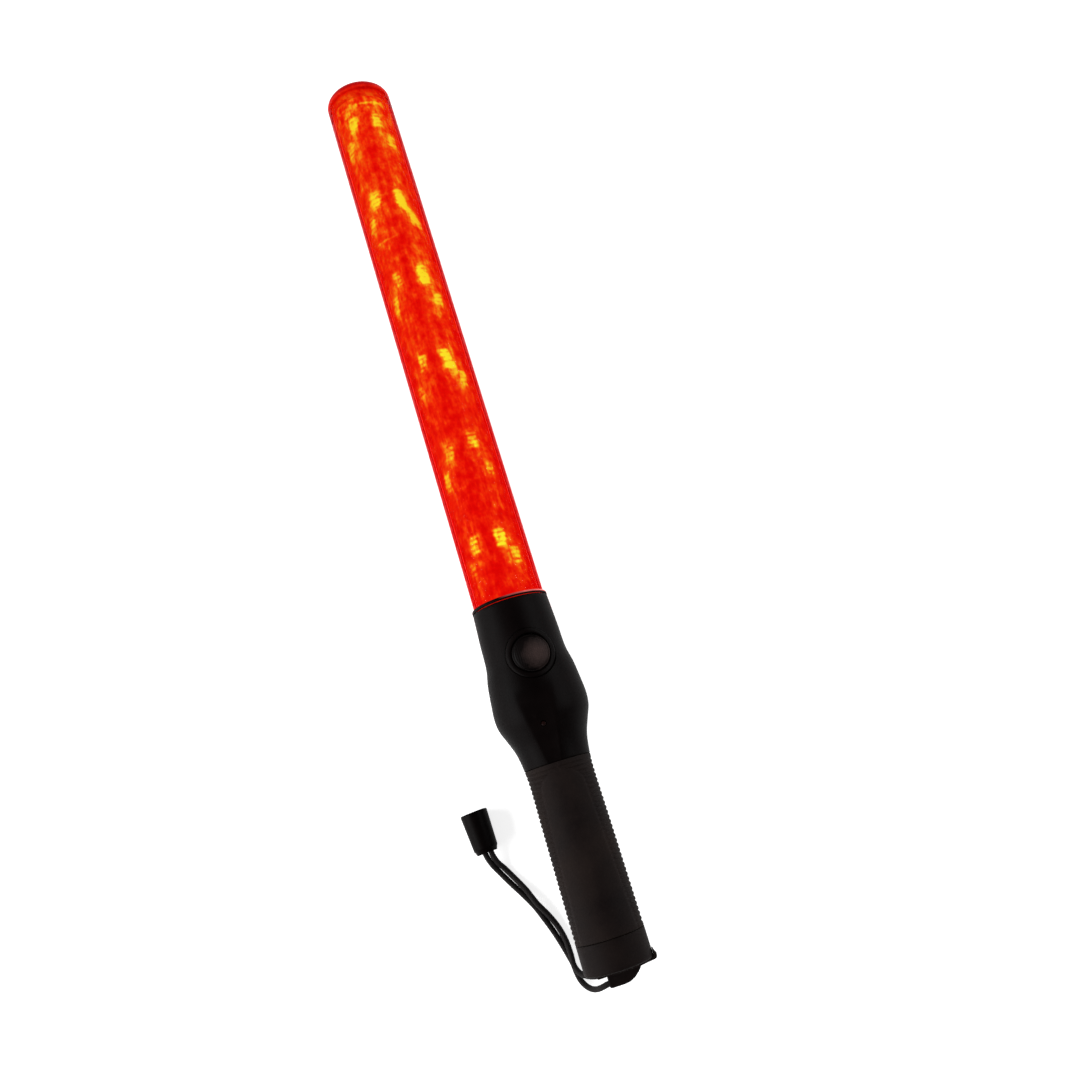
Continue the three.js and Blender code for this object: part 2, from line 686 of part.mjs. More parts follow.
// A flap with a bead along one side that turns in the end cap's groove, and a pull lip on the other.
function portCover() {
  const faceY = END_FACE_Y - GAP;
  const fromAbove = new THREE.Shape();
  fromAbove.moveTo(HINGE_X, faceY);
  fromAbove.lineTo(16.9, faceY);
  fromAbove.quadraticCurveTo(18.7, faceY + 0.2, LIP_INNER_X, faceY + 2);
  fromAbove.lineTo(LIP_INNER_X, LIP_END_Y);
  fromAbove.lineTo(LIP_INNER_X + LIP_THIN_END, LIP_END_Y);
  fromAbove.quadraticCurveTo(LIP_INNER_X + LIP_THIN_END, LIP_END_Y - 4, LIP_OUTER_X, LIP_END_Y - 6.2);
  fromAbove.quadraticCurveTo(LIP_OUTER_X, TAIL_Y + 0.9, 17, TAIL_Y + 0.5);
  fromAbove.lineTo(12, TAIL_Y);
  fromAbove.lineTo(HINGE_X, TAIL_Y);
  fromAbove.closePath();
  const fromTheEnd = new THREE.Shape();
  fromTheEnd.moveTo(HINGE_X, -COVER_HALF_HEIGHT);
  fromTheEnd.lineTo(9, -COVER_HALF_HEIGHT);
  fromTheEnd.quadraticCurveTo(13.4, -6.8, 15, -4.2);
  fromTheEnd.lineTo(LIP_OUTER_X + 1, -LIP_HALF_HEIGHT);
  fromTheEnd.lineTo(LIP_OUTER_X + 1, LIP_HALF_HEIGHT);
  fromTheEnd.lineTo(15, 4.2);
  fromTheEnd.quadraticCurveTo(13.4, 6.8, 9, COVER_HALF_HEIGHT);
  fromTheEnd.lineTo(HINGE_X, COVER_HALF_HEIGHT);
  fromTheEnd.closePath();
  const extrude = (shape, depth) =>
    new THREE.ExtrudeGeometry(shape, { depth, bevelEnabled: false, curveSegments: 5 });
  const across = extrude(fromAbove, 20).translate(0, 0, -10);
  const through = extrude(fromTheEnd, 20).rotateX(Math.PI / 2).translate(0, TAIL_Y + 15, 0);
  const plate = solid(across).intersect(solid(through));
  const bead = post(HINGE_BEAD, -7.3, 7.3, END_FACE_Y - 0.6, 16).translate([HINGE_X, 0, 0]);
  return join(plate, bead);
}
place(axis, "port_cover", portCover(), BLACK_RUBBER);

// ---- Wrist cord ----
// The line that the two strands follow together, from the end cap to the barrel.
const PAIR_LINE = [
  [-24.2, -257.5],
  [-25.4, -250.5],
  [-27.4, -243.5],
  [-30.4, -236],
  [-34.2, -228.2],
  [-38.4, -220],
  [-43.2, -212],
];
// Out of the lug's upper bore to the left, and down round the handle's end.
const STRAND_A_START = [
  [-1, LUG_BORES.upperY, 12],
  [-4.5, LUG_BORES.upperY, 12],
  [-9.4, -270.3, 11.9],
  [-14, -270.1, 11],
  [-18, -269, 9.3],
  [-21.4, -266.9, 7.2],
  [-23.4, -262.8, 5.5],
];
// Out of the lower bore to the left, down to the surface and round under the other strand.
const STRAND_B_START = [
  [-1, LUG_BORES.lowerY, 12],
  [-4.5, LUG_BORES.lowerY, 12],
  [-8.6, -275.5, 11.8],
  [-11.9, -276.3, 10.5],
  [-14.9, -276.9, 7.8],
  [-17.9, -276.4, 5],
  [-20.7, -274.2, 2.8],
  [-22.6, -270.7, 1.8],
  [-23.5, -266.6, CORD_REST],
  [-23.9, -262.4, CORD_REST],
];
// How far the strands are turned about each other at each point of the pair's line, in degrees.
const PAIR_TURNS = [62, 30, 8, 25, 50, 25, 5];

// One strand's points along the pair's line, turned about the other strand, which lies on the surface.
function pairPoints(side) {
  return PAIR_LINE.map(([x, y], i) => {
    const before = PAIR_LINE[Math.max(i - 1, 0)];
    const after = PAIR_LINE[Math.min(i + 1, PAIR_LINE.length - 1)];
    const across = new THREE.Vector2(after[1] - before[1], before[0] - after[0]).normalize();
    const turn = THREE.MathUtils.degToRad(PAIR_TURNS[i]);
    const offset = (side * STRAND_SPACING * Math.cos(turn)) / 2;
    const lift = side > 0 ? STRAND_SPACING * Math.sin(turn) : 0;
    return [x + across.x * offset, y + across.y * offset, CORD_REST + lift];
  });
}

// Off the surface and into the barrel's narrow end, side by side.
function barrelPoints(side) {
  const half = (side * (CORD_DIAMETER + GAP)) / 2;
  return [
    [-46.6 + half * 0.87, -206.2 + half * 0.5, 1.95],
    [-49.1 + half, -201.6, 3.9],
    [-50.5 + half, -196.8, 6.2],
    [-51 + half, -191.6, BARREL_WIDE],
  ];
}

function strand(start, side, steps) {
  const points = [...start, ...pairPoints(side), ...barrelPoints(side)];
  return sweep(points.map((p) => new THREE.Vector3(...p)), CORD_DIAMETER / 2, 8, steps);
}
place(baton, "lanyard_strand_a", strand(STRAND_A_START, 1, 30), CORD_BLACK);
place(baton, "lanyard_strand_b", strand(STRAND_B_START, -1, 34), CORD_BLACK);

const toggle = new THREE.Group();
toggle.position.copy(BARREL_FOOT);
toggle.rotation.z = BARREL_TURN;
baton.add(toggle);
const BARREL_BORE = 4.9;
const PLUG_DEPTH = 5;

place(
  toggle,
  "lanyard_barrel",
  turned([
    [BARREL_BORE, 0],
    [BARREL_BORE + 0.7, 0],
    [BARREL_NARROW, 2.6],
    [BARREL_WIDE, BARREL_LENGTH - 1],
    [BARREL_WIDE - 0.8, BARREL_LENGTH],
    [BARREL_BORE, BARREL_LENGTH],
  ], 24),
  BLACK_PLASTIC,
);
place(
  toggle,
  "lanyard_barrel_plug",
  rod(BARREL_BORE - GAP, BARREL_LENGTH - PLUG_DEPTH, BARREL_LENGTH - 0.6, 20),
  BLACK_PLASTIC,
);

export default baton;
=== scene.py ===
import json
import math

import bmesh
import bpy
import numpy as np
from mathutils import Euler, Matrix, Vector


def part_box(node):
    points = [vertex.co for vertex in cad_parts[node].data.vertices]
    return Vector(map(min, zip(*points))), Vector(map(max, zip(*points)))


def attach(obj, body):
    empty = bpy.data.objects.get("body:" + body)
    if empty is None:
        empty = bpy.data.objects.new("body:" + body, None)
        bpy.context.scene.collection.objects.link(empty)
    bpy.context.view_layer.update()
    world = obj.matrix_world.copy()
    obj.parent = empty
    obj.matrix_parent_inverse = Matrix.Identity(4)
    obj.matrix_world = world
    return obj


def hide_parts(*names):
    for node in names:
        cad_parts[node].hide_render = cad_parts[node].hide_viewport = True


# A hand-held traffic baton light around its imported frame. Shapes are worked out in millimetres, from the
# baton's axis (x across, y along towards the tip, z up from the axis), and built in metres.
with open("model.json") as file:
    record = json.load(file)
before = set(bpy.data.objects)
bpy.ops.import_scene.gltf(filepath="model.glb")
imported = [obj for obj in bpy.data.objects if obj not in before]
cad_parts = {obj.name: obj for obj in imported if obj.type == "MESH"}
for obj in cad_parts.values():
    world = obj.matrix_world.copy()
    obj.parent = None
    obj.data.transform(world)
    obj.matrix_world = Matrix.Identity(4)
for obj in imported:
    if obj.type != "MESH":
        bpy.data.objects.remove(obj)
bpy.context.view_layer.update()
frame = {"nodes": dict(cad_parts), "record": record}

# ---- Sizes ----
MM = 0.001
GAP = 0.3  # clearance between touching pieces


def span(node, axis):
    """Lowest and highest place of a CAD node along one axis, in millimetres."""
    low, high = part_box(node)
    return low[axis] / MM, high[axis] / MM


def middle(node, axis=1):
    return sum(span(node, axis)) / 2


def half_width(node):
    low, high = span(node, 0)
    return (high - low) / 2


TUBE_FOOT_Y, TUBE_TOP_Y = span("light_tube", 1)
AXIS_HEIGHT = middle("light_tube", 2)
TUBE_RADIUS = half_width("light_tube")
TUBE_WALL = 2.0
LINER_FOOT_Y, LINER_TOP_Y = span("optic_liner", 1)
LINER_RADIUS = half_width("optic_liner")
LINER_WALL = 0.8
CAP_FOOT_Y, TIP_Y = span("tip_cap", 1)
CAP_EDGE = 5.0  # edge rounding of the tip cap
CAP_WALL, CAP_END_WALL = 1.8, 2.6
SEAL_LOW_Y, SEAL_HIGH_Y = span("tube_seal", 1)
COLLAR_Y = SEAL_HIGH_Y - GAP
SHELL_END_Y, SHELL_TOP_Y = span("handle_front_shell", 1)
SLEEVE_END_Y, SLEEVE_TOP_Y = span("grip_sleeve", 1)
END_FACE_Y, END_CAP_Y = span("end_cap", 1)

SHELL_WALL = 2.2
SLEEVE_WALL = 2.1
NECK_INSET = SLEEVE_WALL + GAP
SEAT_RADIUS = TUBE_RADIUS + GAP
BUTTON_ROLL = math.radians(12)  # the button is turned a little to the thumb's side
BUTTON_Y = middle("switch_button")
BUTTON_RADIUS = 10.2
BUTTON_EDGE, BUTTON_TOP = 21.0, 23.6  # heights above the baton's axis
BUTTON_FOOT, FLANGE_TOP = 15.1, 16.4
BEZEL_RADIUS = 13.4
WINDOW_RADIUS = 1.6  # of the indicator
INDICATOR_Y = middle("indicator_lens")
SCREW_PLACES = [middle(f"shell_screw_{name}") for name in ("upper", "lower")]
SCREW_BORE, SCREW_SEAT, SCREW_POST = 1.8, 3.1, 4.4  # radii
SHELL_SEAT_DEPTH, CAP_SEAT_DEPTH = 5, 2.4

# Half-width and half-thickness of the handle against the distance below the collar.
HANDLE_OUTLINE = [
    (0, 21.2, 21.2),
    (18, 22.1, 21.9),
    (33, 22.7, 22.4),
    (41, 24.3, 22.9),
    (51, 25.4, 23.5),
    (60, 26.0, 24.0),
    (66, 25.3, 23.6),
    (72.5, 22.8, 21.6),
    (80, 20.0, 19.2),
    (88, 18.5, 17.8),
    (98, 17.9, 17.2),
    (125, 18.1, 17.2),
    (160, 18.3, 17.3),
    (205, 18.4, 17.4),
]
SCOOP_DEPTH, SCOOP_TOP, SCOOP_BOTTOM, SCOOP_WIDE, SCOOP_NARROW = 1.5, 50, 94, 11, 3

# Lamp places, as on the two strips inside
LEVELS = 6
LEVEL_Y = middle("lamp_front_left_1")
LEVEL_PITCH = middle("lamp_front_left_2") - LEVEL_Y
REAR_LEVEL_Y = middle("lamp_rear_left_1")
DISC_PLACES = [middle(f"spacer_disc_{i}") for i in (1, 2, 3)]

# Wrist cord: the same points as in the CAD model, in metres
CORD_DIAMETER = 0.003
STRAND_SPACING = 0.0034
CORD_REST = CORD_DIAMETER / 2 + 0.0001
PAIR_LINE = [
    (-0.0242, -0.2575),
    (-0.0254, -0.2505),
    (-0.0274, -0.2435),
    (-0.0304, -0.236),
    (-0.0342, -0.2282),
    (-0.0384, -0.22),
    (-0.0432, -0.212),
]
PAIR_TURNS = [62, 30, 8, 25, 50, 25, 5]  # of the strands about each other, in degrees
STRAND_A_START = [
    (-0.001, -0.2703, 0.012),
    (-0.0045, -0.2703, 0.012),
    (-0.0094, -0.2703, 0.0119),
    (-0.014, -0.2701, 0.011),
    (-0.018, -0.269, 0.0093),
    (-0.0214, -0.2669, 0.0072),
    (-0.0234, -0.2628, 0.0055),
]
STRAND_B_START = [
    (-0.001, -0.2753, 0.012),
    (-0.0045, -0.2753, 0.012),
    (-0.0086, -0.2755, 0.0118),
    (-0.0119, -0.2763, 0.0105),
    (-0.0149, -0.2769, 0.0078),
    (-0.0179, -0.2764, 0.005),
    (-0.0207, -0.2742, 0.0028),
    (-0.0226, -0.2707, 0.0018),
    (-0.0235, -0.2666, CORD_REST),
    (-0.0239, -0.2624, CORD_REST),
]
BARREL_LENGTH = 22.6
BARREL_WIDE, BARREL_NARROW, BARREL_BORE = 7.5, 6.7, 4.9  # radii
BARREL_FOOT = Vector((-0.051, -0.1949, BARREL_WIDE * MM))
BARREL_TURN = math.radians(4)
LUG_LEFT, LUG_RIGHT = span("lanyard_lug", 0)
LUG_DROP, LUG_BORE, LUG_HALF_HEIGHT, LUG_STEM_END = 11.5, 1.8, 3.2, -264
LUG_SOFTNESS, LUG_TAPER = 0.55, 6.0  # its section's roundness, and the reach under which it gets thinner
# The lug's far side, seen from above
LUG_FOOT_X = (-8, -6.5, 0, 3, 6, 8.5, 10.4, 11.2)
LUG_FOOT_Y = (-277.6, -277.9, -277.8, -277.4, -276, -274, -272, -270.2)


# ---- Curves and surfaces ----
SPAN_STEPS = 24  # of a smooth line, between two of its points


def smooth_line(points):
    """A centripetal Catmull-Rom line through the points, as the CAD model's curves are."""
    points = [np.array(p, float) for p in points]
    points = [2 * points[0] - points[1], *points, 2 * points[-1] - points[-2]]
    line = []
    for p0, p1, p2, p3 in zip(points, points[1:], points[2:], points[3:]):
        d0, d1, d2 = (max(np.linalg.norm(b - a) ** 0.5, 1e-9) for a, b in ((p0, p1), (p1, p2), (p2, p3)))
        slope1 = d1 * ((p1 - p0) / d0 - (p2 - p0) / (d0 + d1) + (p2 - p1) / d1)
        slope2 = d1 * ((p2 - p1) / d1 - (p3 - p1) / (d1 + d2) + (p3 - p2) / d2)
        t = np.linspace(0, 1, SPAN_STEPS, endpoint=False)[:, None]
        bend = (2 * t**3 - 3 * t**2 + 1) * p1 + (t**3 - 2 * t**2 + t) * slope1
        line.append(bend + (-2 * t**3 + 3 * t**2) * p2 + (t**3 - t**2) * slope2)
    return np.vstack([*line, points[-2]])


OUTLINE_SAMPLES = smooth_line(HANDLE_OUTLINE)


def half_sizes(y):
    """Half-width and half-thickness of the handle at a place."""
    down = COLLAR_Y - np.asarray(y, float)
    half = np.interp(down, OUTLINE_SAMPLES[:, 0], OUTLINE_SAMPLES[:, 1])
    deep = np.interp(down, OUTLINE_SAMPLES[:, 0], OUTLINE_SAMPLES[:, 2])
    return half, deep


def scoop(y, x):
    """Depth of the hollow on the bulge's front."""
    along = np.clip((COLLAR_Y - y - SCOOP_TOP) / (SCOOP_BOTTOM - SCOOP_TOP), 0, 1)
    reach = SCOOP_WIDE + (SCOOP_NARROW - SCOOP_WIDE) * along
    across = np.clip(1 - (x / reach) ** 2, 0, 1)
    return SCOOP_DEPTH * across * np.sin(np.pi * along) ** 0.6


def handle_surface(y, angle, inset=0.0):
    """Points of the handle's surface: y down the rows, angle along the columns, moved in by inset."""
    y, angle, inset = np.broadcast_arrays(y, angle, inset)
    half, deep = half_sizes(y)
    x = (half - inset) * np.cos(angle)
    z = (deep - inset) * np.sin(angle)
    return np.stack([x, y, z], -1)


# ---- Mesh helpers ----
def add_object(name, data):
    item = bpy.data.objects.new(name, data)
    bpy.context.scene.collection.objects.link(item)
    return item


def shade_smooth(piece):
    """Smooth shading with sharp edges where faces meet at more than 32 degrees."""
    mesh = piece.data
    mesh.polygons.foreach_set("use_smooth", [True] * len(mesh.polygons))
    mesh.set_sharp_from_angle(angle=math.radians(32))


def grid_piece(name, grid, wrap_rows=False, cap_rows=False, lift=AXIS_HEIGHT):
    """A closed piece from rings of points in millimetres, with its faces turned to point out."""
    grid = np.asarray(grid, float).copy()
    grid[..., 2] += lift
    rows, columns = grid.shape[:2]
    mesh = bpy.data.meshes.new(name)
    work = bmesh.new()
    verts = [[work.verts.new(p * MM) for p in row] for row in grid]
    for r in range(rows if wrap_rows else rows - 1):
        for c in range(columns):
            r2, c2 = (r + 1) % rows, (c + 1) % columns
            work.faces.new((verts[r][c], verts[r2][c], verts[r2][c2], verts[r][c2]))
    if cap_rows:
        for row in (verts[0], verts[-1]):
            work.faces.new(row)
    bmesh.ops.remove_doubles(work, verts=work.verts, dist=1e-7)
    bmesh.ops.recalc_face_normals(work, faces=work.faces)
    work.to_mesh(mesh)
    work.free()
    piece = add_object(name, mesh)
    shade_smooth(piece)
    return piece


def turned(name, profile, segments, lift=AXIS_HEIGHT):
    """A solid of revolution about a line along Y. The profile is a list of (radius, y)."""
    profile = np.array(profile, float)
    angle = np.linspace(0, 2 * math.pi, segments, endpoint=False)
    radius, y = profile[:, :1], profile[:, 1:]
    grid = np.stack([radius * np.cos(angle), y + 0 * angle, radius * np.sin(angle)], -1)
    on_axis = profile[0, 0] == 0 and profile[-1, 0] == 0
    return grid_piece(name, grid, wrap_rows=not on_axis, lift=lift)


def arc(centre, radius, start, end, steps=6):
    """Points of an arc in a profile, from start to end in degrees."""
    angles = np.radians(np.linspace(start, end, steps))
    return [(centre[0] + radius * math.cos(a), centre[1] + radius * math.sin(a)) for a in angles]


def apply_modifiers(piece):
    graph = bpy.context.evaluated_depsgraph_get()
    mesh = bpy.data.meshes.new_from_object(piece.evaluated_get(graph))
    piece.modifiers.clear()
    piece.data = mesh


def combine(piece, tools, operation):
    """Cuts the tools from the piece, or joins them to it, and removes the tools."""
    for tool in tools:
        modifier = piece.modifiers.new("tool", "BOOLEAN")
        modifier.operation = operation
        modifier.object = tool
        modifier.solver = "EXACT"
    apply_modifiers(piece)
    for tool in tools:
        bpy.data.objects.remove(tool)
    shade_smooth(piece)


def rod(direction, place, radius, low, high, segments=48):
    """A plain cylinder to cut with or to add: along X, Y or Z through a place, from low to high."""
    profile = [(0, low), (radius, low), (radius, high), (0, high)]
    tool = turned("tool", profile, segments, lift=0)
    turns = {"X": Euler((0, 0, -math.pi / 2)), "Y": Euler((0, 0, 0)), "Z": Euler((math.pi / 2, 0, 0))}
    x, y, z = place
    move = Matrix.Translation(Vector((x, y, z + AXIS_HEIGHT)) * MM)
    tool.matrix_world = move @ turns[direction].to_matrix().to_4x4()
    return tool


def box_tool(place, size):
    """A plain block to cut with or to add, centred on a place."""
    bpy.ops.mesh.primitive_cube_add(size=1)
    tool = bpy.context.object
    x, y, z = place
    tool.matrix_world = Matrix.LocRotScale(Vector((x, y, z + AXIS_HEIGHT)) * MM, None, Vector(size) * MM)
    return tool


def round_edges(piece, width):
    """Rounds a piece's edges over where its faces meet at more than 35 degrees."""
    work = bmesh.new()
    work.from_mesh(piece.data)
    bmesh.ops.remove_doubles(work, verts=work.verts, dist=1e-7)
    bmesh.ops.dissolve_limit(work, angle_limit=math.radians(1), verts=work.verts, edges=work.edges)
    sharp = [e for e in work.edges if e.calc_face_angle(0) > math.radians(35)]
    bmesh.ops.bevel(
        work, geom=sharp, offset=width * MM, segments=3, profile=0.5, affect="EDGES", clamp_overlap=True
    )
    work.to_mesh(piece.data)
    work.free()
    shade_smooth(piece)


def finish_piece(piece, body, material, node):
    """Gives a finished piece its material and its CAD body, and hides the CAD node that it stands for."""
    piece.data.materials.clear()
    piece.data.materials.append(material)
    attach(piece, body)
    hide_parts(node)
    return piece


# ---- Materials ----
def linear(red, green, blue):
    """A colour given as it looks on screen, 0 to 255, as the linear values that shaders take."""
    scaled = [v / 255 for v in (red, green, blue)]
    return (*[v / 12.92 if v <= 0.04045 else ((v + 0.055) / 1.055) ** 2.4 for v in scaled], 1.0)


class Graph:
    """A material's node tree with one Principled shader, and short calls that add nodes."""

    def __init__(self, name):
        self.material = bpy.data.materials.new(name)
        self.material.use_nodes = True
        self.tree = self.material.node_tree
        self.tree.nodes.clear()
        self.shader = self.tree.nodes.new("ShaderNodeBsdfPrincipled")
        output = self.tree.nodes.new("ShaderNodeOutputMaterial")
        self.tree.links.new(self.shader.outputs[0], output.inputs["Surface"])
        self.place = self.tree.nodes.new("ShaderNodeTexCoord").outputs["Object"]

    def feed(self, socket, value):
        if isinstance(value, bpy.types.NodeSocket):
            self.tree.links.new(value, socket)
        else:
            socket.default_value = value

    def set(self, **inputs):
        for name, value in inputs.items():
            self.feed(self.shader.inputs[name.replace("_", " ")], value)

    def math(self, operation, *values):
        node = self.tree.nodes.new("ShaderNodeMath")
        node.operation = operation
        for socket, value in zip(node.inputs, values):
            self.feed(socket, value)
        return node.outputs[0]

    def chain(self, operation, first, *others):
        """One operation over several values, from left to right."""
        for value in others:
            first = self.math(operation, first, value)
        return first

    def add(self, *values):
        return self.chain("ADD", *values)

    def multiply(self, *values):
        return self.chain("MULTIPLY", *values)

    def subtract(self, value, taken):
        return self.math("SUBTRACT", value, taken)

    def divide(self, value, by):
        return self.math("DIVIDE", value, by)

    def vector(self, x, y, z):
        node = self.tree.nodes.new("ShaderNodeCombineXYZ")
        for socket, value in zip(node.inputs, (x, y, z)):
            self.feed(socket, value)
        return node.outputs[0]

    def split(self, vector):
        node = self.tree.nodes.new("ShaderNodeSeparateXYZ")
        self.feed(node.inputs[0], vector)
        return node.outputs

    def noise(self, scale, detail=2.0, roughness=0.5, vector=None):
        node = self.tree.nodes.new("ShaderNodeTexNoise")
        self.feed(node.inputs["Vector"], self.place if vector is None else vector)
        node.inputs["Scale"].default_value = scale
        node.inputs["Detail"].default_value = detail
        node.inputs["Roughness"].default_value = roughness
        return node.outputs["Fac"]

    def cells(self, scale):
        node = self.tree.nodes.new("ShaderNodeTexVoronoi")
        self.feed(node.inputs["Vector"], self.place)
        node.inputs["Scale"].default_value = scale
        return node.outputs["Distance"]

    def random(self, vector):
        node = self.tree.nodes.new("ShaderNodeTexWhiteNoise")
        node.noise_dimensions = "3D"
        self.feed(node.inputs["Vector"], vector)
        return node.outputs["Color"]

    def ramp(self, value, stops):
        """Colours along a value. Three numbers are a colour as on screen, and four a linear one."""
        node = self.tree.nodes.new("ShaderNodeValToRGB")
        elements = node.color_ramp.elements
        while len(elements) < len(stops):
            elements.new(0.5)
        for element, (place, colour) in zip(elements, stops):
            element.position = place
            element.color = linear(*colour) if len(colour) == 3 else colour
        self.feed(node.inputs["Fac"], value)
        return node.outputs["Color"]

    def level(self, value, low, high, out_low, out_high):
        node = self.tree.nodes.new("ShaderNodeMapRange")
        for socket, number in zip(node.inputs, (value, low, high, out_low, out_high)):
            self.feed(socket, number)
        return node.outputs[0]

    def bump(self, height, strength, distance, normal=None):
        node = self.tree.nodes.new("ShaderNodeBump")
        node.inputs["Strength"].default_value = strength
        node.inputs["Distance"].default_value = distance
        self.feed(node.inputs["Height"], height)
        if normal is not None:
            self.feed(node.inputs["Normal"], normal)
        return node.outputs[0]


def moulded(name, dark, light, rough, grain, depth, gloss=0.5, scuffs=160):
    """Moulded plastic or rubber: cloudy tone, pale scuffs, uneven gloss and fine grain (rates per metre)."""
    g = Graph(name)
    cloud = g.noise(45, 4, 0.6)
    fine = g.noise(grain, 3, 0.7)
    scuff = g.level(g.noise(scuffs, 5, 0.75), 0.56, 0.78, 0, 0.45)
    tone = g.add(g.level(cloud, 0.3, 0.7, 0, 0.65), scuff)
    wear = g.add(cloud, g.multiply(fine, 0.5))
    g.set(
        Base_Color=g.ramp(tone, [(0, dark), (1, light)]),
        Roughness=g.level(wear, 0.5, 1.0, *rough),
        Specular_IOR_Level=gloss,
        Normal=g.bump(fine, 0.5, depth, g.bump(cloud, 0.15, 0.0004)),
    )
    return g.material


RING_PITCH = 2.8  # of the liner's prism rings, in millimetres
WALL_PASS = 0.4  # share of green and blue light that gets through the tube's wall
RED_PASS = 0.88  # the wall takes out red 1 - RED_PASS times as strongly
UPPER_ANGLE, OUTER_ANGLE = 0.42, 0.80  # of the two lamp families round the liner, from each face's middle
LAMP_SEED = 4.0
SMEAR_Y, SMEAR_ANGLE, SMEAR_SLANT = 171, 0.72, 0.026  # one slanted streak, right of the fifth level


def seen_through_wall(red, green, blue):
    """The colour that the liner has to be to look like this through the red tube's wall."""
    red, *others = linear(red, green, blue)
    return (red * WALL_PASS, *others)


def hump(g, value, centre, width, power=2):
    """1 at the centre, falling to nothing past the width."""
    off = g.divide(g.subtract(value, centre), width)
    return g.math("EXPONENT", g.multiply(g.math("POWER", g.math("ABSOLUTE", off), power), -1))


def lamp_level(g, y, first):
    """Distance along the baton from the nearest lamp level, its number, and 1 inside the lit rows."""
    steps = g.divide(g.subtract(y, first), LEVEL_PITCH)
    number = g.math("ROUND", steps)
    inside = g.math("COMPARE", number, (LEVELS - 1) / 2, LEVELS / 2)
    return g.multiply(g.subtract(steps, number), LEVEL_PITCH), number, inside


def lamp_spots(g, y, angle, front, rear, bars):
    """The lamps' glows on the liner, each a barred core with a halo and a tail."""
    hand = g.math("SIGN", angle)
    near, far = lamp_level(g, y, LEVEL_Y), lamp_level(g, y, REAR_LEVEL_Y)
    # Each face shows its own lamps near its middle and the other face's lamps further out.
    families = [
        (front, near, UPPER_ANGLE, 0.17, 5.6, 1.0),
        (front, far, OUTER_ANGLE, 0.15, 5.0, 0.8),
        (rear, far, UPPER_ANGLE, 0.17, 5.6, 1.0),
        (rear, near, OUTER_ANGLE, 0.15, 5.0, 0.8),
    ]
    spots = []
    for seed, (around, (away, number, inside), centre, width, reach, power) in enumerate(families):
        lamp = g.vector(number, g.add(hand, 0.37 * seed), LAMP_SEED + seed)
        luck, slant, stretch = g.split(g.random(lamp))
        away = g.subtract(away, g.level(stretch, 0, 1, -2.5, 2.5))
        lean = g.multiply(away, g.level(slant, 0, 1, -0.014, 0.006))
        place = g.subtract(around, g.add(lean, centre))
        long = g.divide(away, g.level(luck, 0, 1, 0.8, 1.15))
        core = g.multiply(hump(g, place, 0, width, 4), hump(g, long, 0, reach, 6), bars, 0.5 * power)
        halo = g.multiply(hump(g, place, 0, width * 2), hump(g, long, 0, reach * 2), 0.2 * power)
        tail = g.multiply(hump(g, place, 0, width * 1.3), hump(g, long, -reach * 1.5, reach * 2.6), 0.07)
        bright = g.multiply(g.level(luck, 0, 1, 0.65, 1.2), g.level(hand, -1, 1, 0.92, 1.22))
        spots.append(g.multiply(g.add(core, halo, tail), bright, inside))
    return g.add(*spots)


def smear(g, y, angle):
    slanted = g.add(angle, g.multiply(y, SMEAR_SLANT))
    centre = SMEAR_ANGLE + SMEAR_Y * SMEAR_SLANT
    return g.multiply(hump(g, slanted, centre, 0.13), hump(g, y, SMEAR_Y, 12, 4), 0.5)


def disc_line(g, y, disc_y):
    """The broken bright line that a spacer disc makes."""
    return g.multiply(hump(g, y, disc_y, 0.8), g.level(g.noise(90), 0.5, 0.66, 0, 0.3))


def liner_heat(g, y, angle, front, rear, bars):
    """How brightly each place on the liner shines, 0 to 1: even light, cloudy textures and lamps."""

    def texture(around, along, offset, detail=4):
        """Noise drawn out along the baton: its rates are per radian and per millimetre."""
        place = g.vector(g.multiply(angle, around), g.multiply(y, along), offset)
        return g.noise(1, detail, 0.6, place)

    glow = g.add(
        lamp_spots(g, y, angle, front, rear, bars),
        smear(g, y, angle),
        *[disc_line(g, y, disc_y) for disc_y in DISC_PLACES],
    )
    glow = g.multiply(glow, g.level(texture(5, 0.3, 21), 0.36, 0.6, 0.62, 1.16))
    streaks = texture(5.5, 0.04, 0, detail=3)
    wisps = texture(7, 0.15, 3, detail=2)
    blotches = texture(3.2, 0.14, 8, detail=2)
    specks = texture(11, 0.6, 15, detail=2)
    parts = [
        g.level(y, COLLAR_Y + 25, CAP_FOOT_Y, 0.13, 0.31),
        g.level(streaks, 0.32, 0.68, -0.1, 0.1),
        g.level(wisps, 0.35, 0.7, -0.08, 0.12),
        g.level(blotches, 0.36, 0.68, -0.08, 0.19),
        g.level(specks, 0.35, 0.7, -0.02, 0.03),
    ]
    # Painted glow: brighter bands out to each side of a face's middle, and the spine's painted shadow along
    # that middle.
    for around in (front, rear):
        parts.append(g.multiply(hump(g, around, 0.62, 0.2), 0.06))
        parts.append(g.multiply(hump(g, around, 0, 0.2), -0.1))
    tip_patch = g.multiply(hump(g, y, CAP_FOOT_Y - 6, 9), g.level(blotches, 0.4, 0.65, 0, 0.25))
    return g.add(*parts, g.add(glow, tip_patch))


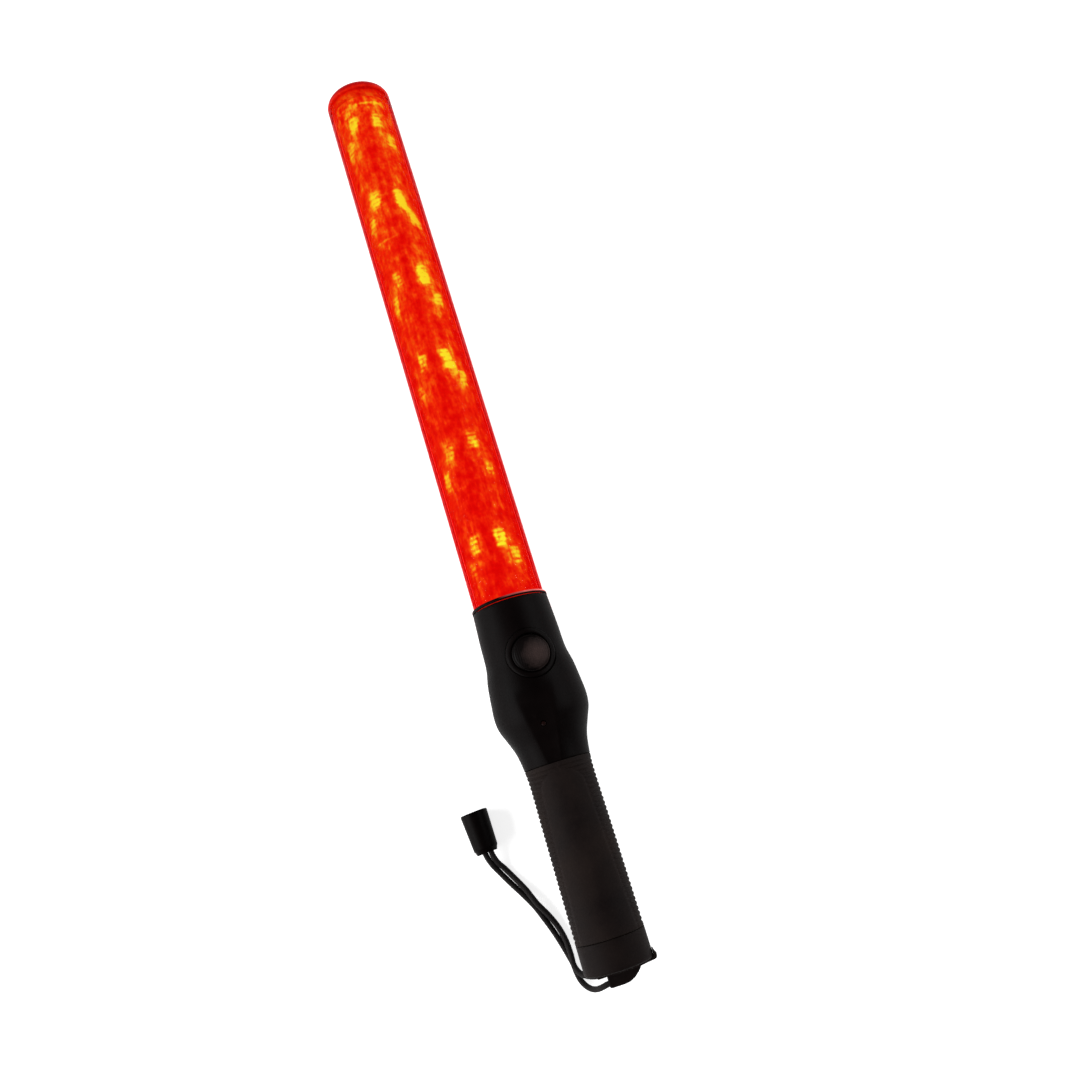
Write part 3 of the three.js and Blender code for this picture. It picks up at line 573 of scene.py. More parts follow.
def lit_liner():
    """The prism liner, with the light of the lamps behind it painted on as its glow: pairs of barred glows
    at each level.
    """
    g = Graph("lit_liner")
    x, y, z = g.split(g.place)
    y = g.multiply(y, 1 / MM)
    height = g.subtract(z, AXIS_HEIGHT * MM)
    sway = g.multiply(g.subtract(g.noise(75, 3, 0.6), 0.5), 0.3)
    strip_twist = g.level(y, LEVEL_Y, CAP_FOOT_Y, -0.02, 0.08)
    angle = g.subtract(g.math("ARCTAN2", x, height), strip_twist)
    front = g.add(g.math("ABSOLUTE", angle), sway)
    rear = g.subtract(math.pi, front)
    ripple = g.math("SINE", g.multiply(y, 2 * math.pi / RING_PITCH))
    bars = g.level(ripple, -0.8, 0.7, 0.55, 1.0)
    light = g.ramp(
        liner_heat(g, y, angle, front, rear, bars),
        [
            (0.0, seen_through_wall(216, 4, 2)),
            (0.15, seen_through_wall(226, 14, 4)),
            (0.32, seen_through_wall(236, 40, 7)),
            (0.5, seen_through_wall(242, 84, 12)),
            (0.66, seen_through_wall(244, 146, 24)),
            (0.8, seen_through_wall(246, 200, 34)),
            (0.94, seen_through_wall(250, 234, 40)),
        ],
    )
    g.set(
        Base_Color=linear(70, 4, 3),
        Roughness=0.6,
        Specular_IOR_Level=0.04,
        Emission_Color=light,
        Emission_Strength=1.1 / WALL_PASS,
        Normal=g.bump(ripple, 0.2, 0.0003),
    )
    return g.material


def red_glass():
    """The tube's red plastic: it takes green and blue out of the light, most where it is deep."""
    g = Graph("red_glass")
    x, y, z = g.split(g.place)
    lines = g.noise(420, 3, 0.6, g.vector(x, g.multiply(y, 0.03), z))
    g.set(
        Base_Color=(1.0, 0.96, 0.95, 1.0),
        Transmission_Weight=1.0,
        IOR=1.03,
        Roughness=0.0,
        Normal=g.bump(lines, 0.015, 0.0001),
    )
    absorb = g.tree.nodes.new("ShaderNodeVolumeAbsorption")
    absorb.inputs["Color"].default_value = (RED_PASS, 0.0, 0.0, 1.0)
    absorb.inputs["Density"].default_value = -math.log(WALL_PASS) / (TUBE_WALL * MM)
    output = g.tree.nodes["Material Output"]
    g.tree.links.new(absorb.outputs[0], output.inputs["Volume"])
    return g.material


LIT_BELOW, DARK_ABOVE = 6.2, 2.4  # of the tip cap, as distances below its end


def cap_red():
    """The tip cap: its spigot has a painted glow like the tube around it, and its solid end stays dark red.
    """
    g = Graph("cap_red")
    y = g.split(g.place)[1]
    cloud = g.noise(110, 4, 0.6)
    spots = g.noise(260, 2, 0.6)
    ragged_y = g.add(y, g.multiply(cloud, 3 * MM))
    spigot = g.level(ragged_y, (TIP_Y - LIT_BELOW) * MM, (TIP_Y - DARK_ABOVE) * MM, 1, 0)
    mottle = g.add(g.level(cloud, 0.35, 0.68, 0.3, 1), g.level(spots, 0.5, 0.7, 0, 0.3))
    heat = g.add(g.multiply(spigot, mottle), g.level(cloud, 0.3, 0.7, 0, 0.12))
    light = g.ramp(
        heat,
        [
            (0.0, (164, 3, 4)),
            (0.14, (188, 6, 6)),
            (0.45, (232, 34, 10)),
            (0.8, (244, 92, 18)),
            (1.0, (248, 150, 30)),
        ],
    )
    g.set(
        Base_Color=g.ramp(cloud, [(0.3, (70, 3, 3)), (0.7, (90, 6, 5))]),
        Roughness=g.level(cloud, 0.3, 0.7, 0.3, 0.45),
        Specular_IOR_Level=0.04,
        Emission_Color=light,
        Emission_Strength=0.9,
        Normal=g.bump(g.noise(900, 3), 0.1, 0.0002),
    )
    return g.material


SEAL_EDGE_LOW, SEAL_EDGE_HIGH = COLLAR_Y - 0.75, COLLAR_Y - 0.5  # where the painted highlight on the lip's edge starts
SEAL_LIT_FROM, SEAL_LIT_TO = -4, 11  # across the baton


def seal_material():
    """The sealing lip: black, with a painted highlight, in colour and glow, on its edge towards the tube on
    the right.
    """
    g = Graph("seal_silicone")
    x, y = g.split(g.place)[:2]
    edge = g.level(y, SEAL_EDGE_LOW * MM, SEAL_EDGE_HIGH * MM, 0, 1)
    right = g.level(x, SEAL_LIT_FROM * MM, SEAL_LIT_TO * MM, 0, 1)
    patch = g.level(g.noise(60, 3), 0.35, 0.6, 0.5, 1)
    # Painted highlight: the edge towards the tube, on the right, broken into patches.
    lit = g.multiply(edge, g.multiply(right, patch))
    g.set(
        Base_Color=g.ramp(lit, [(0, (7, 2, 2)), (1, (205, 110, 105))]),
        Roughness=g.level(patch, 0, 1, 0.7, 0.5),
        Specular_IOR_Level=0.03,
        Emission_Color=g.ramp(lit, [(0, (0, 0, 0)), (1, (235, 100, 95))]),
        Emission_Strength=0.6,
        Normal=g.bump(g.noise(1400, 2), 0.2, 0.0001),
    )
    return g.material


def braid():
    """Black nylon braid: fuzzy, a little cloudy in tone and dull."""
    g = Graph("cord_black")
    fuzz = g.noise(2600, 4, 0.7)
    cloud = g.noise(140, 3)
    tone = g.add(g.multiply(fuzz, 0.6), g.multiply(cloud, 0.4))
    g.set(
        Base_Color=g.ramp(tone, [(0.35, (7, 4, 4)), (0.7, (24, 18, 18))]),
        Roughness=g.level(fuzz, 0.3, 0.7, 0.62, 0.85),
        Specular_IOR_Level=0.15,
        Sheen_Weight=0.06,
        Sheen_Roughness=0.5,
        Normal=g.bump(fuzz, 0.6, 0.00012),
    )
    return g.material


def steel():
    g = Graph("steel")
    brushed = g.noise(900, 4, 0.6)
    dark = linear(150, 150, 154)
    light = (*[1.25 * value for value in dark[:3]], 1.0)
    g.set(
        Base_Color=g.ramp(brushed, [(0.3, dark), (0.7, light)]),
        Metallic=1.0,
        Roughness=g.level(brushed, 0.3, 0.7, 0.22, 0.42),
        Normal=g.bump(brushed, 0.2, 0.00005),
    )
    return g.material


def board():
    g = Graph("board_green")
    traces = g.cells(260)
    fine = g.noise(1500, 2)
    tone = g.add(g.level(traces, 0.1, 0.5, 0, 0.8), g.multiply(fine, 0.2))
    greens = [(0.2, (12, 78, 40)), (0.45, (22, 104, 56)), (0.9, (30, 120, 62))]
    g.set(
        Base_Color=g.ramp(tone, greens),
        Roughness=g.level(fine, 0.3, 0.7, 0.3, 0.45),
        Normal=g.bump(traces, 0.2, 0.0001),
    )
    return g.material


def lamp_glow():
    g = Graph("lamp_lens")
    grain = g.noise(800, 2)
    g.set(
        Base_Color=g.ramp(grain, [(0.3, (255, 190, 60)), (0.7, (255, 225, 120))]),
        Roughness=g.level(grain, 0.3, 0.7, 0.15, 0.25),
        Emission_Color=g.ramp(grain, [(0.3, (255, 200, 40)), (0.7, (255, 235, 110))]),
        Emission_Strength=2.0,
    )
    return g.material


HIGHLIGHT_X, HIGHLIGHT_Y, HIGHLIGHT_REACH = 8.2, BUTTON_Y - 1, 8.5  # middle and reach of the button's painted highlight


def button_material():
    """Button rubber, with a painted highlight that makes it paler a little right of its middle."""
    g = Graph("button_rubber")
    x, y = g.split(g.place)[:2]
    off_x = g.divide(g.subtract(x, HIGHLIGHT_X * MM), HIGHLIGHT_REACH * MM)
    off_y = g.divide(g.subtract(y, HIGHLIGHT_Y * MM), HIGHLIGHT_REACH * MM)
    away = g.math("SQRT", g.add(g.multiply(off_x, off_x), g.multiply(off_y, off_y)))
    # Painted highlight: the button is paler round a place a little right of its middle.
    painted_highlight = g.level(g.add(away, g.multiply(g.noise(500, 3), 0.5)), 0.5, 1.35, 1, 0)
    fine = g.noise(3000, 3, 0.7)
    tone = g.add(g.multiply(painted_highlight, 0.8), g.multiply(fine, 0.2))
    g.set(
        Base_Color=g.ramp(tone, [(0.1, (6, 3, 3)), (0.9, (54, 42, 40))]),
        Roughness=g.level(painted_highlight, 0, 1, 0.5, 0.7),
        Specular_IOR_Level=0.06,
        Normal=g.bump(fine, 0.4, 0.0001),
    )
    return g.material


# Name, dark and light tone, roughness, grain, its depth, gloss, scuffs
BLACK = moulded("black_plastic", (3, 1, 1), (11, 6, 6), (0.42, 0.56), 2600, 0.00008, 0.03)
MATT = moulded("matt_black_plastic", (10, 5, 5), (27, 20, 18), (0.55, 0.7), 2400, 0.00014, 0.05, 420)
GRIP = moulded("grip_rubber", (13, 7, 7), (34, 26, 23), (0.62, 0.8), 2200, 0.00016, 0.06, 620)
BUTTON = button_material()
WHITE = moulded("white_plastic", (205, 198, 186), (232, 228, 218), (0.4, 0.6), 2400, 0.0001)
WRAP = moulded("cell_wrap", (30, 74, 130), (52, 104, 168), (0.25, 0.4), 1500, 0.00005)
CLEAR = moulded("lens_clear", (214, 120, 96), (236, 150, 124), (0.15, 0.3), 1800, 0.00005)
STEEL = steel()
BOARD = board()
LAMP = lamp_glow()
PILOT = moulded("pilot_lens", (10, 2, 2), (26, 8, 6), (0.25, 0.4), 1800, 0.00003, 0.1)
CORD = braid()
LINER = lit_liner()
GLASS = red_glass()
CAP_RED = cap_red()
SEAL = seal_material()

NODE_MATERIALS = {
    "lens_red": GLASS,
    "lens_clear": CLEAR,
    "seal_silicone": SEAL,
    "black_plastic": BLACK,
    "grip_rubber": GRIP,
    "button_rubber": BUTTON,
    "white_plastic": WHITE,
    "board_green": BOARD,
    "lamp_lens": LAMP,
    "steel": STEEL,
    "cell_wrap": WRAP,
    "cord_black": CORD,
}


def dress_cad_nodes():
    """Every CAD node gets its slot's material and smooth shading. The pieces below replace some of them."""
    for entry in frame["record"]["subparts"]:
        node = frame["nodes"][entry["node"]]
        node.data.materials.clear()
        node.data.materials.append(NODE_MATERIALS[entry["material_slot"]])
        shade_smooth(node)
    frame["nodes"]["indicator_lens"].data.materials[0] = PILOT


dress_cad_nodes()


# ---- Tube, liner and tip ----
def pipe(name, radius, wall, low, high):
    inner = radius - wall
    return turned(name, [(inner, low), (radius, low), (radius, high), (inner, high)], 160)


def make_tube():
    tube = pipe("clear_tube", TUBE_RADIUS, TUBE_WALL, TUBE_FOOT_Y, TUBE_TOP_Y)
    finish_piece(tube, "root", GLASS, "light_tube")


def make_liner():
    liner = pipe("prism_liner", LINER_RADIUS, LINER_WALL, LINER_FOOT_Y, LINER_TOP_Y)
    finish_piece(liner, "root", LINER, "optic_liner")


def make_tip():
    spigot = TUBE_RADIUS - TUBE_WALL - GAP
    seat_y = TUBE_TOP_Y + GAP
    profile = [
        (0, TIP_Y - CAP_END_WALL),
        (spigot - CAP_WALL, TIP_Y - CAP_END_WALL),
        (spigot - CAP_WALL, CAP_FOOT_Y),
        (spigot, CAP_FOOT_Y),
        (spigot, seat_y),
        (TUBE_RADIUS - 0.2, seat_y),
        (TUBE_RADIUS, seat_y + 0.2),
        *arc((TUBE_RADIUS - CAP_EDGE, TIP_Y - CAP_EDGE), CAP_EDGE, 0, 90, 10),
        (0, TIP_Y),
    ]
    tip = turned("tip_lens", profile, 128)
    finish_piece(tip, "root", CAP_RED, "tip_cap")


make_tube()
make_liner()
make_tip()


# ---- Handle shells ----
def shell_rows():
    """Down the handle: (y, how far the surface is moved in there)."""
    edge = [(SHELL_TOP_Y, 0.5), (SHELL_TOP_Y - 0.15, 0.2), (SHELL_TOP_Y - 0.5, 0)]
    neck_y = SLEEVE_TOP_Y + GAP
    wide = [(y, 0.0) for y in np.arange(SHELL_TOP_Y - 2, neck_y + 0.6, -1.0)]
    step = [(neck_y + 0.2, 0.0), (neck_y + 0.05, 0.05), (neck_y, 0.15), (neck_y - 0.02, NECK_INSET)]
    neck = [(y, NECK_INSET) for y in np.linspace(neck_y - 2, SHELL_END_Y, 12)]
    return np.array(edge + wide + step + neck)


def half_shell(name, side):
    """The front half (side 1) or the rear half (side -1) of the handle's wall."""
    rows = shell_rows()
    y, inset = rows[:, :1], rows[:, 1:]
    angle = np.linspace(0, math.pi, 72)[None, :] * side
    outer, inner = (handle_surface(y, angle, inset + wall) for wall in (0, SHELL_WALL))
    if side > 0:
        for face in (outer, inner):
            face[..., 2] -= scoop(face[..., 1], face[..., 0]) * (inset < NECK_INSET)
    else:
        outer[..., 2] = np.maximum(outer[..., 2], -AXIS_HEIGHT)  # the flat that the baton rests on
    seat = np.broadcast_to(y > TUBE_FOOT_Y - 1, inner.shape[:2])
    inner[seat, 0] = (SEAT_RADIUS * np.cos(angle) + 0 * y)[seat]
    inner[seat, 2] = (SEAT_RADIUS * np.sin(angle) + 0 * y)[seat]
    loops = np.concatenate([outer, inner[:, ::-1]], axis=1)
    clip = np.maximum if side > 0 else np.minimum
    loops[..., 2] = clip(loops[..., 2], side * GAP / 2)
    return grid_piece(name, loops, cap_rows=True)


def make_front_shell():
    shell = half_shell("front_shell", 1)
    roll = Matrix.Rotation(BUTTON_ROLL, 4, "Y")
    drill = rod("Z", (0, BUTTON_Y, 0), BEZEL_RADIUS + GAP, 12, 30, 96)
    lift = Matrix.Translation((0, 0, AXIS_HEIGHT * MM))
    drill.matrix_world = lift @ roll @ lift.inverted() @ drill.matrix_world
    window = rod("Z", (0, INDICATOR_Y, 0), WINDOW_RADIUS, 5, 30, 32)
    combine(shell, [drill, window], "DIFFERENCE")
    finish_piece(shell, "root", BLACK, "handle_front_shell")


def make_rear_shell():
    shell = half_shell("rear_shell", -1)
    floors = [(y, -float(half_sizes(y)[1])) for y in SCREW_PLACES]
    posts = [rod("Z", (0, y, 0), SCREW_POST, floor + 1, -2) for y, floor in floors]
    combine(shell, posts, "UNION")
    bores = [rod("Z", (0, y, 0), SCREW_BORE, floor - 2, 1, 32) for y, floor in floors]
    seats = [rod("Z", (0, y, 0), SCREW_SEAT, floor - 2, floor + SHELL_SEAT_DEPTH) for y, floor in floors]
    for tool in seats + bores:
        combine(shell, [tool], "DIFFERENCE")
    finish_piece(shell, "root", BLACK, "handle_rear_shell")


make_front_shell()
make_rear_shell()


def make_seal():
    inner, outer = SEAT_RADIUS, SEAT_RADIUS + 1.1
    profile = [
        (inner, SEAL_LOW_Y),
        (outer, SEAL_LOW_Y),
        *arc((outer - 0.7, SEAL_HIGH_Y - 0.7), 0.7, 0, 90, 6),
        (inner, SEAL_HIGH_Y),
    ]
    seal = turned("collar_seal", profile, 128)
    finish_piece(seal, "root", SEAL, "tube_seal")


make_seal()


# ---- Grip ----
RIB_PITCH = 2.5
RIB_DEPTH = 0.5
RIB_FADE = 0.8  # how far a rib takes to come up
MARGIN_TOP, MARGIN_END = 2.2, 1.2  # without ribs
PANEL_TOP_Y = SLEEVE_TOP_Y - 4
PANEL_HALF_TOP, PANEL_HALF_BOTTOM = 11.5, 15.5
PANEL_ARCH = 9.0  # length of the arched top


def panel_half(y):
    """Half-width of the smooth front panel: arched at its top, wider towards the end cap."""
    share = np.clip((PANEL_TOP_Y - y) / (PANEL_TOP_Y - SLEEVE_END_Y), 0, 1)
    half = PANEL_HALF_TOP + (PANEL_HALF_BOTTOM - PANEL_HALF_TOP) * share
    rise = np.clip((PANEL_TOP_Y - y) / PANEL_ARCH, 0, 1)
    return half * np.sqrt(1 - (1 - rise) ** 2)


def make_grip():
    inside = np.linspace(SLEEVE_END_Y + 0.7, SLEEVE_TOP_Y - 0.7, 301)[::-1]
    edges_top = [(SLEEVE_TOP_Y, 0.18), (SLEEVE_TOP_Y - 0.06, 0.06), (SLEEVE_TOP_Y - 0.2, 0.0)]
    edges_end = [(SLEEVE_END_Y + 0.2, 0.0), (SLEEVE_END_Y + 0.06, 0.06), (SLEEVE_END_Y, 0.18)]
    rows = np.array(edges_top + [(y, 0.0) for y in inside] + edges_end)
    y, edge = rows[:, :1], rows[:, 1:]
    angle = np.linspace(0, 2 * math.pi, 192, endpoint=False)[None, :]
    plain = handle_surface(y, angle)
    from_panel = np.abs(plain[..., 0]) - panel_half(y)
    from_panel = np.where(plain[..., 2] > 0, from_panel, 10.0)
    ribbed = np.clip(from_panel / RIB_FADE, 0, 1)
    for past_margin in (SLEEVE_TOP_Y - MARGIN_TOP - y, y - SLEEVE_END_Y - MARGIN_END):
        ribbed = ribbed * np.clip(past_margin / RIB_FADE, 0, 1)
    groove = (0.5 + 0.5 * np.cos(2 * math.pi * (y - SLEEVE_END_Y) / RIB_PITCH)) ** 2
    border = 0.22 * np.exp(-((from_panel / 0.55) ** 2))
    inset = np.maximum(edge, RIB_DEPTH * groove * ribbed + border * (from_panel < 5))
    outer = handle_surface(y, angle, inset)
    inner_y = np.array([[SLEEVE_END_Y], [SLEEVE_TOP_Y]])
    inner = handle_surface(inner_y, angle, SLEEVE_WALL)
    sleeve = grid_piece("ribbed_grip", np.concatenate([outer, inner]), wrap_rows=True)
    finish_piece(sleeve, "root", GRIP, "grip_sleeve")


make_grip()


# ---- Button ----
def rolled(piece):
    """Turns a piece made upright on the axis to the button's place."""
    lift = Matrix.Translation((0, BUTTON_Y * MM, AXIS_HEIGHT * MM))
    piece.data.transform(lift @ Matrix.Rotation(BUTTON_ROLL, 4, "Y"))
    return piece


def polar_piece(name, profile, shape, closed=False):
    """An upright piece about its own Z: profile rows of (radius, height), shape(x, y, height) adjusts z."""
    profile = np.array(profile, float)
    angle = np.linspace(0, 2 * math.pi, 128, endpoint=False)[None, :]
    x = profile[:, :1] * np.cos(angle)
    y = profile[:, :1] * np.sin(angle)
    z = shape(x, y, profile[:, 1:] + 0 * angle)
    return grid_piece(name, np.stack([x, y, z], -1), wrap_rows=closed, lift=0)


def make_button():
    """A low dome with stipples inside a shallow ring, on a flange that keeps it in the handle."""
    stipple_pitch, stipple_depth, stippled = 1.15, 0.16, 8.9
    outside = np.linspace(stippled + 0.5, BUTTON_RADIUS - 0.5, 5)
    radii = np.concatenate([np.linspace(0, stippled + 0.3, 56), outside])
    dome = BUTTON_EDGE + (BUTTON_TOP - BUTTON_EDGE) * (1 - (radii / BUTTON_RADIUS) ** 2)
    top = list(zip(radii, dome))
    lip = [(BUTTON_RADIUS - 0.2, dome[-1] - 0.15), (BUTTON_RADIUS - 0.03, dome[-1] - 0.4)]
    foot = [
        (BUTTON_RADIUS, BUTTON_EDGE - 0.7),
        (BUTTON_RADIUS, FLANGE_TOP),
        (BUTTON_RADIUS + 1, FLANGE_TOP),
        (BUTTON_RADIUS + 1, BUTTON_FOOT),
        (0, BUTTON_FOOT),
    ]

    def stipple(x, y, height):
        k = math.pi / stipple_pitch
        dots = np.sin(k * (x + y)) * np.sin(k * (x - y))
        away, on_top = np.hypot(x, y), height > BUTTON_EDGE
        reach = np.clip((stippled - away) / 0.6, 0, 1) * on_top
        ring = 0.3 * np.exp(-(((away - stippled - 0.25) / 0.3) ** 2)) * on_top
        return height - reach * stipple_depth * (0.5 - 0.5 * dots) - ring

    button = rolled(polar_piece("push_button", top + lip + foot, stipple))
    finish_piece(button, "button", BUTTON, "switch_button")


def make_bezel():
    half, deep = half_sizes(BUTTON_Y)
    crown = max(float(half), float(deep)) + 0.5
    inner, outer, thick, edge = BUTTON_RADIUS + 0.4, BEZEL_RADIUS, 2.8, 0.7
    rounding = [(edge * (1 - math.cos(a)), -edge * (1 - math.sin(a))) for a in np.radians([0, 25, 50, 90])]
    top = [(inner + off, height) for off, height in rounding]
    top += [(outer - off, height) for off, height in reversed(rounding)]
    profile = top + [(outer, -thick), (inner, -thick)]

    def follow(x, y, height):
        """The ring lies on the handle's round surface."""
        return np.sqrt((crown + height) ** 2 - x**2)

    bezel = rolled(polar_piece("button_ring", profile, follow, closed=True))
    finish_piece(bezel, "root", BLACK, "button_bezel")


make_button()
make_bezel()


# ---- End cap and port cover ----
SOCKET_RADIUS, CAP_SCREW_RISE, CAP_FLOOR, CAP_POCKET = 5.2, 11.8, 4, 14.6
STEM_WIDE, STEM_HIGH, STEM_X = 6, 3, 1
HINGE_X, HINGE_Y, HINGE_BEAD = -11, END_FACE_Y - 0.6, 1.4
COVER_HALF_HEIGHT = 7.3
LIP_END_Y = -263.4


def make_end_cap():
    """A cup with its floor at the end face, cut for the lug's stem, the socket, the screw and the hinge."""
    edge = 1.2
    turns = np.radians(np.linspace(0, 90, 6))
    rows = [(END_CAP_Y, 0.15), (END_CAP_Y - 0.15, 0.0)]
    rows += [(y, 0.0) for y in np.linspace(END_CAP_Y - 3, END_FACE_Y + edge + 1, 4)]
    rows += [(END_FACE_Y + edge * (1 - math.sin(a)), edge * (1 - math.cos(a))) for a in turns]
    rows = np.array(rows)
    angle = np.linspace(0, 2 * math.pi, 128, endpoint=False)[None, :]
    cap = grid_piece("end_cup", handle_surface(rows[:, :1], angle, rows[:, 1:]), cap_rows=True)
    pocket = rod("Y", (0, 0, 0), CAP_POCKET, END_FACE_Y + CAP_FLOOR, END_CAP_Y + 1, 64)
    # The pocket leaves the cap solid around the lug's stem.
    kept = box_tool((0, END_FACE_Y + 10, -LUG_DROP - 2), (40, 30, 12))
    combine(pocket, [kept], "DIFFERENCE")
    groove_end = COVER_HALF_HEIGHT + GAP
    tools = [
        pocket,
        box_tool((STEM_X, END_FACE_Y, -LUG_DROP), (STEM_WIDE + 2 * GAP, 16, STEM_HIGH + 2 * GAP)),
        rod("Y", (0, 0, 0), SOCKET_RADIUS + GAP, END_FACE_Y - 1, END_CAP_Y),
        rod("Y", (0, 0, CAP_SCREW_RISE), SCREW_SEAT, END_FACE_Y - 1, END_FACE_Y + CAP_SEAT_DEPTH),
        rod("Y", (0, 0, CAP_SCREW_RISE), SCREW_BORE, END_FACE_Y + 2, END_CAP_Y, 32),
        rod("Z", (HINGE_X, HINGE_Y, 0), HINGE_BEAD + GAP, -groove_end, groove_end, 32),
    ]
    for tool in tools:
        combine(cap, [tool], "DIFFERENCE")
    finish_piece(cap, "root", MATT, "end_cap")


make_end_cap()


def make_port_cover():
    """The flap seen from above, cut to its outline seen from the end, with the bead it hinges on."""
    root_y = END_FACE_Y - GAP
    lip_x = float(half_sizes(END_FACE_Y + 3)[0]) + 0.08
    corner = 1.5
    from_above = [
        (HINGE_X, root_y),
        *arc((lip_x - corner, root_y + corner), corner, -90, 0, 7),
        (lip_x, LIP_END_Y),
        (lip_x + 0.45, LIP_END_Y),
        (lip_x + 0.8, LIP_END_Y - 1.2),
        (lip_x + 1.3, LIP_END_Y - 2.4),
        (lip_x + 1.75, LIP_END_Y - 3.2),
        (lip_x + 1.7, LIP_END_Y - 3.9),
        (lip_x + 1.1, root_y - 0.5),
        (lip_x, root_y - 0.9),
        (16, root_y - 1.1),
        (9, root_y - 1.5),
        (HINGE_X, root_y - 1.7),
    ]
    layers = [[(x, y, z) for x, y in from_above] for z in (-10, 10)]
    cover = grid_piece("charging_flap", layers, cap_rows=True)
    upper_half = [
        (HINGE_X - 1, COVER_HALF_HEIGHT),
        (9, COVER_HALF_HEIGHT),
        (11.5, 6.9),
        (13.2, 5.8),
        (14.8, 4.6),
        (17, 4),
        (22, 3.6),
    ]
    from_the_end = [(x, -z) for x, z in upper_half] + upper_half[::-1]
    ends = [[(x, y, z) for x, z in from_the_end] for y in (END_FACE_Y - 10, END_FACE_Y + 12)]
    combine(cover, [grid_piece("tool", ends, cap_rows=True)], "INTERSECT")
    bead = rod("Z", (HINGE_X, HINGE_Y, 0), HINGE_BEAD, -COVER_HALF_HEIGHT, COVER_HALF_HEIGHT, 32)
    combine(cover, [bead], "UNION")
    round_edges(cover, 0.2)
    finish_piece(cover, "cover", GRIP, "port_cover")


make_port_cover()


# ---- Wrist cord ----
CORD_STEP = 0.0003  # between two rings of the cord's mesh
YARNS, BRAID_LAY = 4, 0.0048


def pair_points(side):
    """One strand along the pair's line, turned about the other strand, which lies on the surface."""
    points = []
    for i, (x, y) in enumerate(PAIR_LINE):
        before = PAIR_LINE[max(i - 1, 0)]
        after = PAIR_LINE[min(i + 1, len(PAIR_LINE) - 1)]
        across = Vector((after[1] - before[1], before[0] - after[0])).normalized()
        turn = math.radians(PAIR_TURNS[i])
        offset = side * STRAND_SPACING * math.cos(turn) / 2
        lift = STRAND_SPACING * math.sin(turn) if side > 0 else 0
        points.append((x + across.x * offset, y + across.y * offset, CORD_REST + lift))
    return points


def barrel_points(side):
    """Off the surface and into the barrel's narrow end, with the strands side by side."""
    half = side * (CORD_DIAMETER + GAP * MM) / 2
    return [
        (-0.0466 + half * 0.87, -0.2062 + half * 0.5, 0.00195),
        (-0.0491 + half, -0.2016, 0.0039),
        (-0.0505 + half, -0.1968, 0.0062),
        (-0.051 + half, -0.1916, BARREL_WIDE * MM),
    ]


def even_line(points, step):
    """Evenly spaced points on the smooth line through some points, and how far along it each is."""
    line = smooth_line(points)
    lengths = np.concatenate([[0], np.cumsum(np.linalg.norm(np.diff(line, axis=0), axis=1))])
    places = np.linspace(0, lengths[-1], int(lengths[-1] / step) + 1)
    even = np.stack([np.interp(places, lengths, line[:, axis]) for axis in range(3)], -1)
    return even, places


def braided_tube(name, points):
    """A braided cord: two families of yarns that cross, as bumps on a round tube."""
    line, places = even_line(points, CORD_STEP)
    ahead = np.gradient(line, axis=0)
    ahead /= np.linalg.norm(ahead, axis=1)[:, None]
    side = np.cross(ahead, (0.0, 0.0, 1.0))
    side /= np.linalg.norm(side, axis=1)[:, None]
    up = np.cross(side, ahead)
    angle = np.linspace(0, 2 * math.pi, 40, endpoint=False)[None, :]
    run = places[:, None] * (2 * math.pi / BRAID_LAY) / YARNS
    weave = np.abs(np.sin(YARNS * (angle + run)) * np.sin(YARNS * (angle - run))) ** 0.6
    radius = CORD_DIAMETER / 2 * (0.95 + 0.11 * weave)
    grid = line[:, None] + radius[..., None] * (
        np.cos(angle)[..., None] * side[:, None] + np.sin(angle)[..., None] * up[:, None]
    )
    return grid_piece(name, grid / MM, cap_rows=True, lift=0), line


def make_barrel():
    """The cord's pull, a tapered sleeve that is open at its narrow end, and the plug in its wide end."""
    profile = [
        (BARREL_BORE, 0.4),
        (BARREL_BORE + 0.3, 0),
        (BARREL_BORE + 0.7, 0),
        (BARREL_NARROW - 0.5, 1.9),
        (BARREL_NARROW - 0.1, 2.4),
        (BARREL_NARROW + 0.02, 3.2),
        (BARREL_WIDE, BARREL_LENGTH - 1.1),
        *arc((BARREL_WIDE - 0.8, BARREL_LENGTH - 0.8), 0.8, 15, 90, 5),
        (BARREL_BORE + 0.3, BARREL_LENGTH),
        (BARREL_BORE, BARREL_LENGTH - 0.3),
    ]
    barrel = turned("cord_barrel", profile, 72, lift=0)
    low, high = BARREL_LENGTH - 5, BARREL_LENGTH - 0.6
    radius, edge = BARREL_BORE - GAP, 0.5
    profile = [(0, low), (radius, low), *arc((radius - edge, high - edge), edge, 0, 90, 5), (0, high)]
    plug = turned("barrel_plug", profile, 64, lift=0)
    place = Matrix.Translation(BARREL_FOOT) @ Matrix.Rotation(BARREL_TURN, 4, "Z")
    for piece, node in ((barrel, "lanyard_barrel"), (plug, "lanyard_barrel_plug")):
        piece.data.transform(place)
        finish_piece(piece, "root", BLACK, node)
    return [barrel, plug]


